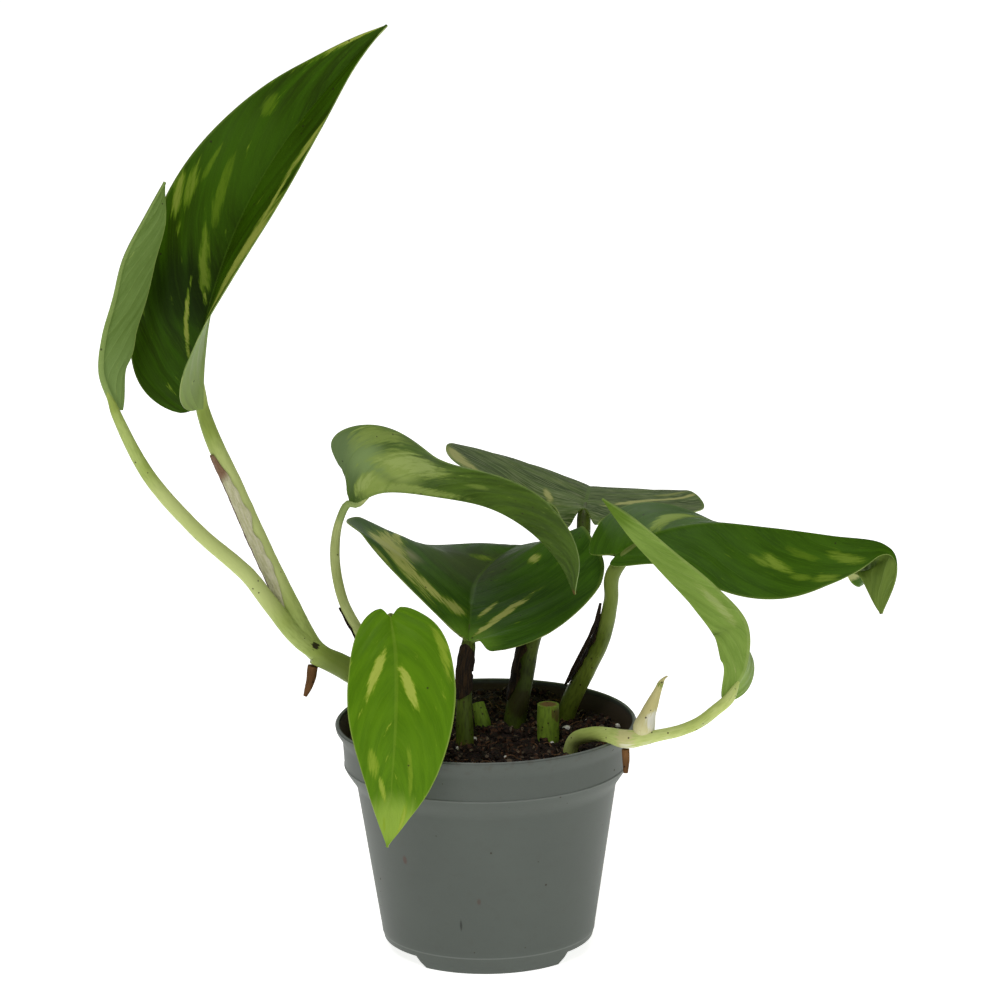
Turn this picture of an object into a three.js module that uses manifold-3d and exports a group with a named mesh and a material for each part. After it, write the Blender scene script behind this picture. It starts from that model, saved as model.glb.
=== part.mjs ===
// A pothos plant of several rooted cuttings in a round nursery pot.
// Millimetres, +Z up, origin on the pot's axis where the pot stands. The plant's front looks towards -Y.
import * as THREE from 'three';
import { mergeVertices } from 'three/addons/utils/BufferGeometryUtils.js';
import Module from 'manifold-3d';

const wasm = await Module();
wasm.setup();

// Driving dimensions
const SEAT_GAP = 0.35;          // clearance between pieces that touch on the real plant
const POT_SEGMENTS = 40;
const FLOOR_TOP = 6.6;
const FOOT_HEIGHT = 4.6;
// The notches between the feet of the pot: where each one faces and half its angle, in degrees.
const FOOT_GAPS = [[92.6, 15], [202.8, 24.8], [342.4, 24.8]];
const DRAIN_HOLES = 6;
const DRAIN_RADIUS = 4;
const DRAIN_CIRCLE = 27;
const HUB_RADIUS = 7;           // flat moulding spot in the middle of the base
const SOIL_LEVEL = 85;
const SOIL_RINGS = 10;
const BLADE = 0.8;              // leaf thickness
const BLADE_ROWS = 14;
const BLADE_COLUMNS = 8;
const STEM_SIDES = 8;

const DEGREES = Math.PI / 180;
const FRONT = new THREE.Vector3(0, -1, 0);

const COLOURS = {
  pot: 0x5f635e, soil: 0x2c1f1a, leaf: 0x33591b, paleLeaf: 0x7b9a45, freshLeaf: 0x568a18,
  stem: 0x8fae4f, darkStem: 0x5c6b35, runner: 0xb4c47c, root: 0x7a4a28, sheath: 0xcfc8a4,
  drySheath: 0x2e211b, shoot: 0xc9cf9f, stump: 0x66793a,
};

const material = (colour, roughness) =>
  new THREE.MeshStandardMaterial({ color: colour, roughness, metalness: 0 });

// ---- Closed meshes -------------------------------------------------------------------------

function geometryOf(positions, triangles) {
  const geometry = new THREE.BufferGeometry();
  geometry.setAttribute('position', new THREE.Float32BufferAttribute(positions, 3));
  geometry.setIndex(triangles);
  return geometry;
}

function solidOf(geometry) {
  const bare = geometry.clone();
  bare.deleteAttribute('normal');
  bare.deleteAttribute('uv');
  const merged = mergeVertices(bare, 1e-4);
  return new wasm.Manifold(new wasm.Mesh({
    numProp: 3,
    vertProperties: new Float32Array(merged.attributes.position.array),
    triVerts: new Uint32Array(merged.index.array),
  }));
}

function geometryFrom(solid) {
  const mesh = solid.getMesh();
  return geometryOf(Array.from(mesh.vertProperties), Array.from(mesh.triVerts));
}

const joined = (geometries) =>
  geometryFrom(geometries.map(solidOf).reduce((whole, piece) => whole.add(piece)));

const cut = (geometry, tools) =>
  geometryFrom(tools.map(solidOf).reduce((whole, piece) => whole.subtract(piece), solidOf(geometry)));

// ---- Smooth values through a few rows -------------------------------------------------------

// Catmull-Rom through equally spaced values, at u from 0 to 1. Before 0 it runs on straight.
function smooth(values, u) {
  const last = values.length - 1;
  if (u < 0) return values[0] + u * last * (values[1] - values[0]);
  const place = Math.min(u, 1) * last;
  const i = Math.min(Math.floor(place), last - 1);
  const t = place - i;
  const b = values[i];
  const c = values[i + 1];
  const a = i > 0 ? values[i - 1] : 2 * b - c;
  const d = i + 1 < last ? values[i + 2] : 2 * c - b;
  return b + 0.5 * t * (c - a + t * (2 * a - 5 * b + 4 * c - d + t * (3 * (b - c) + d - a)));
}

const smoothVector = (rows, key, u) =>
  new THREE.Vector3(...[0, 1, 2].map((axis) => smooth(rows.map((row) => row[key][axis]), u)));

// ---- Leaf blades ----------------------------------------------------------------------------
// A blade is a flat heart-shaped outline laid over a bent midrib. Each row of a leaf gives a point
// of the midrib (at), where the glossy upper side looks (face), and for each half its full width,
// the angle by which it is folded up from the midrib, and the angle by which it curls on to its edge.
// The lobes reach back past the base, the lean sweeps a half on towards the tip (both as left, right),
// and a bend pushes the blade round one place (at) by a few millimetres.
// The lobes reach back past the base, the lean sweeps a half on towards the tip (both as left, right),
// and a bend pushes the blade round one place (at) by a few millimetres.
// The lobes reach back past the base, the lean sweeps a half on towards the tip (both as left, right),
// and a bend pushes the blade round one place (at) by a few millimetres.

// Half width along the leaf, as a share of the row's width: a rounded base and a drawn-out tip.
function outline(leaf, s) {
  const widest = 0.28;
  const rounded = (1 - Math.max(1 - s / widest, 0) ** 2.3) ** leaf.roundness;
  if (s < widest) return 1 - (1 - leaf.shoulder) * (1 - rounded);
  return 1 - ((s - widest) / (1 - widest)) ** leaf.fullness;
}

function midribFrame(leaf, u) {
  const step = 0.01;
  const from = smoothVector(leaf.rows, 'at', Math.min(u, 1 - step) - step);
  const to = smoothVector(leaf.rows, 'at', Math.min(u, 1 - step) + step);
  const along = to.sub(from).normalize();
  const up = smoothVector(leaf.rows, 'face', Math.max(u, 0));
  up.addScaledVector(along, -up.dot(along)).normalize();
  return { origin: smoothVector(leaf.rows, 'at', u), along, up, side: along.clone().cross(up) };
}

// A point of the blade: s runs from the base to the tip, t from the left margin (-1) to the right (1).
function bladePoint(leaf, s, t) {
  const reach = Math.abs(t);
  const [half, which] = t < 0 ? ['left', 0] : ['right', 1];
  const lean = leaf.lean[which] * 4 * s * (1 - s) * reach ** 1.4;
  const u = s + lean - leaf.lobe[which] * (1 - s) ** 3 * Math.sin(0.5 * Math.PI * reach) ** 1.4;
  const inside = Math.max(u, 0);
  const value = (index, at) => smooth(leaf.rows.map((row) => row[half][index]), at);
  const fullWidth = Math.max(value(0, s), 1);
  const distance = reach * Math.max(fullWidth * outline(leaf, s), 0.4);
  const lift = value(1, inside) * DEGREES;
  const bend = (value(2, inside) * DEGREES + 1e-4) / fullWidth;
  const { origin, up, side } = midribFrame(leaf, u);
  const out = (Math.sin(lift + bend * distance) - Math.sin(lift)) / bend;
  const rise = (Math.cos(lift) - Math.cos(lift + bend * distance)) / bend;
  const ripple = leaf.wave * reach ** 2 * Math.sin(leaf.waves * Math.PI * s + (t < 0 ? 1 : 0));
  const point = origin.addScaledVector(side, Math.sign(t) * out).addScaledVector(up, rise + ripple);
  for (const { at, spread, shift } of leaf.bends) {
    const weight = Math.exp(-(((s - at[0]) / spread[0]) ** 2) - ((t - at[1]) / spread[1]) ** 2);
    point.addScaledVector(new THREE.Vector3(...shift), weight);
  }
  return point;
}

function bladeGeometry(leaf) {
  const grid = [];
  for (let i = 0; i <= BLADE_ROWS; i++) {
    const s = (i / BLADE_ROWS) ** 1.4;
    const columns = Array.from({ length: BLADE_COLUMNS + 1 }, (_, j) => (2 * j) / BLADE_COLUMNS - 1);
    grid.push(columns.map((t) => bladePoint(leaf, s, t)));
  }
  const clampRow = (i) => grid[Math.min(Math.max(i, 0), BLADE_ROWS)];
  const clampColumn = (j) => Math.min(Math.max(j, 0), BLADE_COLUMNS);
  const positions = [];
  for (const face of [0.5, -0.5]) {
    grid.forEach((row, i) => row.forEach((point, j) => {
      const along = clampRow(i + 1)[j].clone().sub(clampRow(i - 1)[j]);
      const across = row[clampColumn(j + 1)].clone().sub(row[clampColumn(j - 1)]);
      const normal = across.cross(along).normalize();
      positions.push(...point.clone().addScaledVector(normal, face * BLADE).toArray());
    }));
  }
  const width = BLADE_COLUMNS + 1;
  const under = (BLADE_ROWS + 1) * width;
  const triangles = [];
  for (let i = 0; i < BLADE_ROWS; i++) {
    for (let j = 0; j < BLADE_COLUMNS; j++) {
      const a = i * width + j;
      const [b, c, d] = [a + 1, a + width, a + width + 1];
      // The diagonals of the two halves mirror each other, and both faces share them.
      const pair = j < BLADE_COLUMNS / 2 ? [[a, b, c], [b, d, c]] : [[a, b, d], [a, d, c]];
      for (const [p, q, r] of pair) triangles.push(p, q, r, under + p, under + r, under + q);
    }
  }
  const edge = [];
  for (let j = 0; j < BLADE_COLUMNS; j++) edge.push(j);
  for (let i = 0; i < BLADE_ROWS; i++) edge.push(i * width + BLADE_COLUMNS);
  for (let j = BLADE_COLUMNS; j > 0; j--) edge.push(BLADE_ROWS * width + j);
  for (let i = BLADE_ROWS; i > 0; i--) edge.push(i * width);
  edge.forEach((p, k) => {
    const q = edge[(k + 1) % edge.length];
    triangles.push(q, p, under + p, q, under + p, under + q);
  });
  return geometryOf(positions, triangles);
}

const LEAVES = {
  leaf_tall: {
    colour: COLOURS.leaf, fullness: 2, shoulder: 0.2, roundness: 0.6, wave: 0.8, waves: 5,
    lobe: [0.02, 0], lean: [0.08, 0.08],
    bends: [],
    rows: [
      { at: [-110.5, 0, 222], face: [-0.2, -1, 0.1], left: [37, 8, 10], right: [24, 110, 20] },
      { at: [-108.7, -2, 243.4], face: [-0.2, -1, 0.1], left: [33, 2, -10], right: [24, 90, 10] },
      { at: [-104.6, -2, 265.8], face: [-0.1, -1, 0.1], left: [32, 0, -15], right: [28, 81, 0] },
      { at: [-93.1, 2, 296.3], face: [0, -1, 0.15], left: [31.5, 0, -15], right: [28, 70, 0] },
      { at: [-76.4, 8, 324.3], face: [0, -1, 0.2], left: [28, 0, -15], right: [22, 60, 0] },
      { at: [-55.4, 15, 349.2], face: [0, -1, 0.2], left: [23, 5, -10], right: [11, 55, 0] },
      { at: [-34.8, 20, 369.8], face: [0, -1, 0.2], left: [24, 10, 0], right: [2, 50, 0] },
    ],
  },
  leaf_left_narrow: {
    colour: COLOURS.paleLeaf, fullness: 2, shoulder: 0.2, roundness: 1, wave: 0.4, waves: 4,
    lobe: [0.02, 0.02], lean: [0.07, 0.07],
    bends: [],
    rows: [
      { at: [-142.8, -15, 225.5], face: [0, 1, 0], left: [15, 35, 20], right: [12, 110, 0] },
      { at: [-147.8, -17, 240], face: [0, 1, 0], left: [16.5, 38, 10], right: [16, 110, 0] },
      { at: [-146.4, -18, 254.8], face: [0, 1, 0], left: [15.5, 40, 0], right: [17, 108, 0] },
      { at: [-142, -18, 269.9], face: [0, 1, 0], left: [17, 38, 0], right: [18, 105, 0] },
      { at: [-137.4, -18, 286.5], face: [0, 1, 0], left: [19, 34, 0], right: [18, 100, 0] },
      { at: [-128.4, -16, 303], face: [0, 1, 0], left: [20, 36, 0], right: [18, 95, 0] },
      { at: [-121.1, -14, 315.5], face: [0, 1, 0], left: [16, 45, 0], right: [14, 90, 0] },
    ],
  },
  leaf_arching: {
    colour: COLOURS.paleLeaf, fullness: 2.4, shoulder: 0.45, roundness: 0.6, wave: 0.6, waves: 4,
    lobe: [0, -0.02], lean: [0.05, 0.05],
    bends: [{ at: [0, 0.8], spread: [0.1, 0.5], shift: [3.2, 0, 0] }, { at: [0.22, 1], spread: [0.14, 0.4], shift: [0, 0, 1.8] }],
    rows: [
      { at: [-52.1, -8, 183.9], face: [0, 0, 1], left: [20, 30, 0], right: [39, 84, 0] },
      { at: [-38.2, -12, 190.5], face: [0, 0, 1], left: [25, 26, -10], right: [31, 71, -5] },
      { at: [-16.7, -16, 189.2], face: [0, 0, 1], left: [26, 20, -20], right: [29, 51, -15] },
      { at: [2.9, -20, 185.5], face: [0, 0, 1], left: [26, 14, -20], right: [29, 49, -10] },
      { at: [18.4, -24, 177], face: [0.4, 0, 1], left: [25, 14, -20], right: [27, 46, 0] },
      { at: [29.9, -28, 165], face: [0.8, 0, 0.6], left: [24, 14, -10], right: [25, 46, 0] },
      { at: [35.8, -30, 152.4], face: [1, 0, 0.4], left: [22, 14, 0], right: [18, 44, 0] },
    ],
  },
  leaf_centre: {
    colour: COLOURS.leaf, fullness: 2.2, shoulder: 0.2, roundness: 0.6, wave: 1, waves: 5,
    lobe: [0.01, 0.06], lean: [0.05, 0.05],
    bends: [],
    rows: [
      { at: [-6.6, 4, 124.4], face: [0, -0.5, 0.85], left: [42, 46, 0], right: [52, 2, 20] },
      { at: [-5.5, 22, 134], face: [0, -0.5, 0.85], left: [59, 38, 0], right: [56, 6, 20] },
      { at: [-3.1, 40, 139], face: [0, -0.3, 0.92], left: [54.5, 23, 0], right: [54, 18, 10] },
      { at: [4.5, 62, 141.7], face: [0, -0.1, 1], left: [48, 6, 0], right: [45, 26, 0] },
      { at: [13, 84, 141.4], face: [0, 0, 1], left: [38, -2, 0], right: [36, 14, 0] },
      { at: [18.8, 104, 136.7], face: [0, 0.1, 1], left: [32, -4, 0], right: [30, 8, 0] },
    ],
  },
  leaf_back: {
    colour: COLOURS.leaf, fullness: 2.2, shoulder: 0.25, roundness: 0.6, wave: 1, waves: 5,
    lobe: [0.16, 0.16], lean: [0.06, 0.06],
    bends: [{ at: [0, -0.42], spread: [0.14, 0.22], shift: [0, -3, -8] }, { at: [0, 0.42], spread: [0.12, 0.22], shift: [0, -2, -4] }],
    rows: [
      { at: [40.9, 75, 159.9], face: [0, 0, 1], left: [64, 23, -12], right: [46, -2, -8] },
      { at: [43, 100, 159.4], face: [0, 0, 1], left: [62, 25, -10], right: [48, -3, -5] },
      { at: [44.2, 125, 156], face: [0, 0.1, 1], left: [56, 23, -14], right: [45, -5, 0] },
      { at: [45.4, 150, 147.2], face: [0, 0.2, 1], left: [48, 16, -8], right: [42, 0, 0] },
      { at: [46.4, 165, 139.9], face: [0, 0.3, 1], left: [42, 6, 0], right: [38, 0, 0] },
    ],
  },
  leaf_far_right: {
    colour: COLOURS.leaf, fullness: 2.6, shoulder: 0.25, roundness: 0.6, wave: 0.8, waves: 5,
    lobe: [0.07, 0.03], lean: [0.11, 0.06],
    bends: [{ at: [0.84, -0.9], spread: [0.1, 0.5], shift: [0, 0, -5] }],
    rows: [
      { at: [52.5, 5.5, 158.7], face: [-0.2, 0, 1], left: [31, 26, 0], right: [12, -38, 0] },
      { at: [69, 7, 167], face: [-0.1, 0, 1], left: [36, 8, 0], right: [19, -48, 0] },
      { at: [90, 6.5, 170.8], face: [0, 0, 1], left: [34, -12, 0], right: [28, -52, 0] },
      { at: [113, 5, 169], face: [0, 0, 1], left: [34, -30, 0], right: [30, -52, 0] },
      { at: [138, 4, 165.5], face: [0.1, 0, 1], left: [28, -40, 0], right: [18, -52, 0] },
      { at: [157.8, 3, 162.5], face: [0.6, 0, 1], left: [31, -60, 0], right: [4, -40, 0] },
      { at: [163.4, 1, 153.6], face: [1, 0, 0.3], left: [30, -80, 0], right: [2, -20, 0] },
      { at: [157.5, -1, 134.8], face: [1, 0, -0.4], left: [30, -80, 0], right: [2, 0, 0] },
    ],
  },
  leaf_drooping: {
    colour: COLOURS.paleLeaf, fullness: 3, shoulder: 0.2, roundness: 0.6, wave: 0.4, waves: 4,
    lobe: [0.02, 0.02], lean: [0.04, 0.04],
    bends: [],
    rows: [
      { at: [94.2, -42, 113.7], face: [-0.7, 0.7, 0], left: [11, 0, 0], right: [5, 30, 0] },
      { at: [101.6, -40, 125.2], face: [-0.7, 0.7, 0.2], left: [17, 26, 0], right: [10, 35, 0] },
      { at: [102, -38, 142], face: [-0.7, 0.7, 0], left: [13, 82, 0], right: [14.7, 40, 0] },
      { at: [90, -34, 155.8], face: [-0.6, 0.7, -0.4], left: [12, 85, 0], right: [11.5, 40, 0] },
      { at: [74, -28, 168.5], face: [-0.4, 0.7, -0.5], left: [11, 72, 0], right: [10, 40, 0] },
      { at: [61, -24, 179], face: [-0.4, 0.7, -0.5], left: [10, 55, 0], right: [11, 40, 0] },
      { at: [46.7, -20, 188.1], face: [-0.4, 0.7, -0.5], left: [10, 40, 0], right: [10, 40, 0] },
    ],
  },
  leaf_front: {
    colour: COLOURS.freshLeaf, fullness: 1.35, shoulder: 0.2, roundness: 0.6, wave: 0.4, waves: 4,
    lobe: [0.04, 0.045], lean: [0.04, 0.04],
    bends: [],
    rows: [
      { at: [-36.3, -45, 148.2], face: [0, -1, 0.3], left: [22, 12, -20], right: [19, 12, -20] },
      { at: [-34.4, -53, 133.2], face: [0, -1, 0.3], left: [22.5, 12, -20], right: [18.5, 12, -20] },
      { at: [-34.8, -60, 111], face: [0, -1, 0.1], left: [24, 12, -15], right: [19.5, 12, -15] },
      { at: [-36.6, -63, 87.6], face: [0, -1, 0], left: [22, 12, -10], right: [14.5, 12, -10] },
      { at: [-37.8, -63, 71.4], face: [0, -1, 0], left: [16.5, 12, 0], right: [12, 12, 0] },
      { at: [-39, -62, 60.1], face: [0, -1, 0], left: [14, 10, 0], right: [10, 10, 0] },
    ],
  },
};

// The point under a blade's base where a petiole of this radius ends.
function petioleEnd(leaf, radius, closer = 0) {
  const { origin, along, up } = midribFrame(leaf, 0);
  const droop = Math.max(0, -leaf.rows[0].left[1], -leaf.rows[0].right[1]) * DEGREES;
  const drop = (radius + BLADE / 2 + SEAT_GAP) / Math.cos(droop) - closer;
  return [...origin.addScaledVector(up, -drop).addScaledVector(along, -0.5).toArray(), radius];
}

// ---- Stems, petioles and roots --------------------------------------------------------------

// Sweeps a section along a route of [x, y, z, radius] points, or along a share of it. The section is
// a closed outline made for the radius at that place. Its angles start at the plant's front, and on
// a route that rises, 90 degrees is the right-hand side.
function sweep(route, section, steps, from = 0, to = 1) {
  const curve = new THREE.CatmullRomCurve3(route.map(([x, y, z]) => new THREE.Vector3(x, y, z)));
  const positions = [];
  let outlinePoints = [];
  for (let i = 0; i <= steps; i++) {
    const u = from + ((to - from) * i) / steps;
    const radius = smooth(route.map((point) => point[3]), curve.getUtoTmapping(u));
    const tangent = curve.getTangentAt(u);
    const front = FRONT.clone().addScaledVector(tangent, -FRONT.dot(tangent)).normalize();
    const right = tangent.clone().cross(front);
    outlinePoints = section(Math.max(radius, 0.3), i / steps);
    for (const { x, y } of outlinePoints) {
      const point = curve.getPointAt(u).addScaledVector(front, x).addScaledVector(right, y);
      positions.push(...point.toArray());
    }
  }
  const count = outlinePoints.length;
  const triangles = [];
  for (let i = 0; i < steps; i++) {
    for (let j = 0; j < count; j++) {
      const a = i * count + j;
      const b = i * count + ((j + 1) % count);
      triangles.push(a, b, a + count, b, b + count, a + count);
    }
  }
  for (const [p, q, r] of THREE.ShapeUtils.triangulateShape(outlinePoints, [])) {
    triangles.push(p, r, q, steps * count + p, steps * count + q, steps * count + r);
  }
  return geometryOf(positions, triangles);
}

const round = (sides) => (radius) => Array.from({ length: sides }, (_, k) => {
  const angle = (2 * Math.PI * k) / sides;
  return new THREE.Vector2(radius * Math.cos(angle), radius * Math.sin(angle));
});

// Part of a shell round a stem, from one angle to another, narrowing towards both ends.
const shell = (from, to, thickness) => (radius, u) => {
  const narrow = 1 - 0.6 * Math.abs(2 * u - 1) ** 3;
  const parts = Math.ceil((to - from) / 33);
  const arc = (r) => Array.from({ length: parts + 1 }, (_, k) => {
    const angle = ((from + to) / 2 + (k / parts - 0.5) * (to - from) * narrow) * DEGREES;
    return new THREE.Vector2(r * Math.cos(angle), r * Math.sin(angle));
  });
  const inner = (radius + 1.5 * SEAT_GAP) / Math.cos((0.5 * (to - from) * DEGREES) / parts);
  return [...arc(inner + thickness), ...arc(inner).reverse()];
};

const tube = (route, steps = 3 * route.length) => sweep(route, round(STEM_SIDES), steps);

const ROUTES = {
  leftStem: [[-38, 16, 60, 4], [-41, 13, 84, 4.4], [-44, 8, 103, 4.8], [-54.4, 0, 114.5, 4.8],
    [-67.5, -1, 121.5, 4.2]],
  tallPetiole: [[-60, 0, 118, 3.6], [-67.3, 0, 122.7, 4.2], [-77.8, 0, 143.3, 3.9], [-88.7, 0, 168.1, 3.7],
    [-98.6, 0, 192.6, 3.4], [-105.6, 0, 209, 3.2], petioleEnd(LEAVES.leaf_tall, 2.6)],
  narrowPetiole: [[-60, -1, 118, 3.6], [-73.1, -3, 128, 3.6], [-85.5, -6, 145.1, 3.4], [-93, -8, 156, 3.2],
    [-112.6, -11, 175.4, 2.9], [-131, -13, 198.7, 2.7], petioleEnd(LEAVES.leaf_left_narrow, 2)],
  archingPetiole: [[-30, 0, 60, 2.3], [-35, -8, 90, 2.3], [-42.6, -16, 114.6, 2.2],
    [-48.6, -17, 133, 2.1], [-55.1, -14, 145.7, 2], [-58.1, -10, 158.1, 2], [-58.3, -8.5, 167.9, 2],
    [-56.6, -8, 177.1, 2], petioleEnd(LEAVES.leaf_arching, 2.1, 2)],
  frontPetiole: [[-26, -14, 62, 2.2], [-29, -24, 92, 2.2], [-32, -35, 122, 2.1], [-36, -42, 140, 2],
    petioleEnd(LEAVES.leaf_front, 1.8)],
  centreStem: [[-8.5, -10, 60, 3.6], [-8.4, -8, 89, 3.6], [-8.5, -4, 102, 3.7], [-8.2, -1, 113, 3.6],
    petioleEnd(LEAVES.leaf_centre, 3, 0.8)],
  backStem: [[8, 10, 60, 4.4], [11, 14, 85, 4.4], [14.8, 18, 104, 4.4], [19, 24, 121, 4], [31, 44, 136, 3.4],
    [39.5, 62, 147, 3], petioleEnd(LEAVES.leaf_back, 2.8, 0.1)],
  rightStem: [[29, 26, 60, 3.8], [32, 25, 86.7, 3.8], [40.6, 20, 107.5, 3.7], [46.7, 16, 121.2, 3.4],
    [50.4, 10.5, 138.8, 2.9], [50.8, 7.5, 149, 3], petioleEnd(LEAVES.leaf_far_right, 2.8, 0.7)],
  runner: [[32, -14, 62, 2.9], [32.4, -17, 78, 2.9], [34.8, -21, 89.9, 2.9], [41, -28, 94.5, 3],
    [47.6, -35, 96.5, 3], [54.9, -41, 96.4, 3.7], [61.5, -43, 97.4, 3], [67.4, -43.5, 98.5, 2.4],
    [75.9, -44, 100.5, 2.3], [83.8, -44, 103.9, 2.3], [89.7, -43.5, 108.3, 2.3],
    petioleEnd(LEAVES.leaf_drooping, 2.2, -0.3)],
};

const holeTool = (route) => {
  const wide = route.map(([x, y, z, radius]) => [x, y, z, radius + SEAT_GAP]);
  wide[0] = [wide[0][0], wide[0][1], wide[0][2] - SEAT_GAP, wide[0][3]];
  return tube(wide);
};

// ---- Pot and soil ---------------------------------------------------------------------------

// Outer profile from the rim's lip down to the feet, as [radius, height].
const POT_OUTSIDE = [[59.2, 93], [59.9, 92.2], [59.6, 90.5], [57.4, 87], [57, 85], [56.4, 75.3], [55.9, 74.2],
  [54, 71.3], [52.4, 69], [51.6, 67], [42.8, 9.5], [42.3, 6.6], [41.3, 2.5], [40.2, 0]];
const POT_INSIDE = [[40, 0], [39.2, 0], [39.2, 5.1], [HUB_RADIUS + 2, 5.1], [HUB_RADIUS, 0], [0, 0]];
const POT_HOLLOW = [[0, FLOOR_TOP], [41.2, FLOOR_TOP], [50.2, 67.2], [51.5, 69.8], [54.5, 73.8], [55.2, 75.8],
  [56, 86.5], [58.4, 91], [58.4, 92.6]];

function potGeometry() {
  const profile = [...POT_INSIDE.slice(1).reverse(), ...POT_OUTSIDE.slice().reverse(),
    ...POT_HOLLOW.slice().reverse()];
  const points = profile.map(([r, z]) => new THREE.Vector2(r, z));
  const body = new THREE.LatheGeometry(points, POT_SEGMENTS);
  body.rotateX(Math.PI / 2);
  const tools = [];
  for (const [angle, half] of FOOT_GAPS) tools.push(footNotch(angle * DEGREES, half));
  for (let k = 0; k < DRAIN_HOLES; k++) {
    const angle = ((k + 0.5) * 2 * Math.PI) / DRAIN_HOLES;
    const hole = new THREE.CylinderGeometry(DRAIN_RADIUS, DRAIN_RADIUS, 10, 16);
    hole.rotateX(Math.PI / 2);
    hole.translate(DRAIN_CIRCLE * Math.cos(angle), DRAIN_CIRCLE * Math.sin(angle), FLOOR_TOP - 1);
    tools.push(hole);
  }
  return cut(body, tools);
}

// The gap between two feet: wider at the ground than at its top.
function footNotch(angle, half) {
  const middle = 40;
  const wide = middle * Math.tan((half + 2) * DEGREES);
  const narrow = middle * Math.tan((half - 2) * DEGREES);
  const shape = new THREE.Shape([[-wide, -1], [wide, -1], [wide, 0], [narrow, FOOT_HEIGHT],
    [-narrow, FOOT_HEIGHT], [-wide, 0]].map(([x, y]) => new THREE.Vector2(x, y)));
  const notch = new THREE.ExtrudeGeometry(shape, { depth: 16, bevelEnabled: false });
  notch.rotateX(Math.PI / 2);
  notch.rotateZ(Math.PI);
  notch.translate(0, middle - 8, 0);
  notch.rotateZ(angle - Math.PI / 2);
  return notch;
}

function soilHeight(x, y) {
  const lump = (cx, cy, rise, spread) => rise * Math.exp(-((x - cx) ** 2 + (y - cy) ** 2) / spread ** 2);
  const rough = 0.9 * Math.sin(0.21 * x + 0.7) * Math.cos(0.17 * y) + 0.6 * Math.sin(0.52 * x) * Math.sin(0.43 * y + 1);
  return SOIL_LEVEL + rough + lump(24, 44, 5.5, 9) + lump(-6, 42, 3, 16) + lump(46, 10, 2.5, 10) + lump(12, 4, 1.5, 18);
}

function soilGeometry(holes) {
  const inset = (level) => {
    const k = POT_HOLLOW.findIndex(([, z]) => z > level);
    const [r0, z0] = POT_HOLLOW[k - 1];
    const [r1, z1] = POT_HOLLOW[k];
    return r0 + ((r1 - r0) * (level - z0)) / (z1 - z0) - SEAT_GAP;
  };
  const edgeLevel = SOIL_LEVEL - 4;
  const positions = [];
  const ring = (radius, height) => {
    for (let j = 0; j < POT_SEGMENTS; j++) {
      const angle = (2 * Math.PI * j) / POT_SEGMENTS;
      const [x, y] = [radius * Math.cos(angle), radius * Math.sin(angle)];
      positions.push(x, y, height(x, y));
    }
  };
  for (let i = 1; i <= SOIL_RINGS; i++) ring((i / SOIL_RINGS) * inset(edgeLevel), soilHeight);
  const sideLevels = [75.5, 73.2, 69.8, 67.2, FLOOR_TOP + SEAT_GAP];
  for (const level of sideLevels) ring(inset(level) - 0.1, () => level);
  const top = positions.length / 3;
  positions.push(0, 0, soilHeight(0, 0), 0, 0, FLOOR_TOP + SEAT_GAP);
  const triangles = [];
  const rings = SOIL_RINGS + sideLevels.length;
  for (let j = 0; j < POT_SEGMENTS; j++) {
    const next = (j + 1) % POT_SEGMENTS;
    triangles.push(top, j, next);
    for (let i = 0; i < rings - 1; i++) {
      const a = i * POT_SEGMENTS + j;
      const b = i * POT_SEGMENTS + next;
      triangles.push(a, a + POT_SEGMENTS, b, b, a + POT_SEGMENTS, b + POT_SEGMENTS);
    }
    const last = (rings - 1) * POT_SEGMENTS;
    triangles.push(top + 1, last + next, last + j);
  }
  return cut(geometryOf(positions, triangles), holes);
}

// ---- The plant in its pot -------------------------------------------------------------------

const plant = new THREE.Group();

function add(name, geometry, colour, roughness) {
  const mesh = new THREE.Mesh(geometry, material(colour, roughness));
  mesh.name = name;
  plant.add(mesh);
}

// Dry sheaths and strips that cling to a stem: the route, where they start and end along it, the
// angles that they cover, and their thickness.
const SHEATHS = {
  sheath_tall: { route: ROUTES.tallPetiole, along: [0.34, 0.8], angles: [200, 330], thickness: 0.6, dry: false },
  sheath_centre: { route: ROUTES.centreStem, along: [0.62, 0.88], angles: [150, 450], thickness: 0.6, dry: true },
  sheath_back: { route: ROUTES.backStem, along: [0.26, 0.5], angles: [230, 340], thickness: 0.6, dry: true },
  sheath_right: { route: ROUTES.rightStem, along: [0.38, 0.72], angles: [235, 310], thickness: 0.6, dry: true },
  sheath_arching: { route: ROUTES.archingPetiole, along: [0.5, 0.66], angles: [220, 300], thickness: 0.6, dry: true },
};

// Aerial roots under the two nodes outside the pot.
const ROOTS = {
  root_left: [[-68.2, -1, 116.4, 2.1], [-69.4, -1, 110, 1.8], [-71.6, -1, 104, 0.8]],
  root_runner: [[54.7, -42, 92.5, 1.5], [54.8, -42, 88, 1.4], [54.6, -42, 83, 1]],
};

const SHOOT = [[61.6, -41.5, 101.9, 3.4], [63.5, -41, 106.4, 2.9], [65.6, -41, 111.8, 2.3], [67.4, -41, 116.4, 1.5],
  [68.6, -41, 119.4, 1.2], [69.7, -41, 121.2, 0.6], [71.3, -41, 122.3, 0.4]];
const FIBRE = [[46.2, 10, 137.5, 0.7], [44.4, 11.5, 130, 0.7], [41, 14, 121, 0.7], [36.2, 16.6, 111, 0.7],
  [32, 18.8, 101.4, 0.6]];

const STUBS = {
  stump_cut: [[24.6, -5, 66, 4.2], [24.7, -5, 84, 4.4], [24.8, -5, 100.5, 4.3]],
  stub_centre: [[0, 8, 68, 2.8], [-1, 13, 86, 3.2], [-3, 17, 95, 2.4]],
  stub_right: [[23.6, 11, 66, 2.6], [24, 12, 84, 2.8], [24, 13, 93, 2.4]],
};

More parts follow.
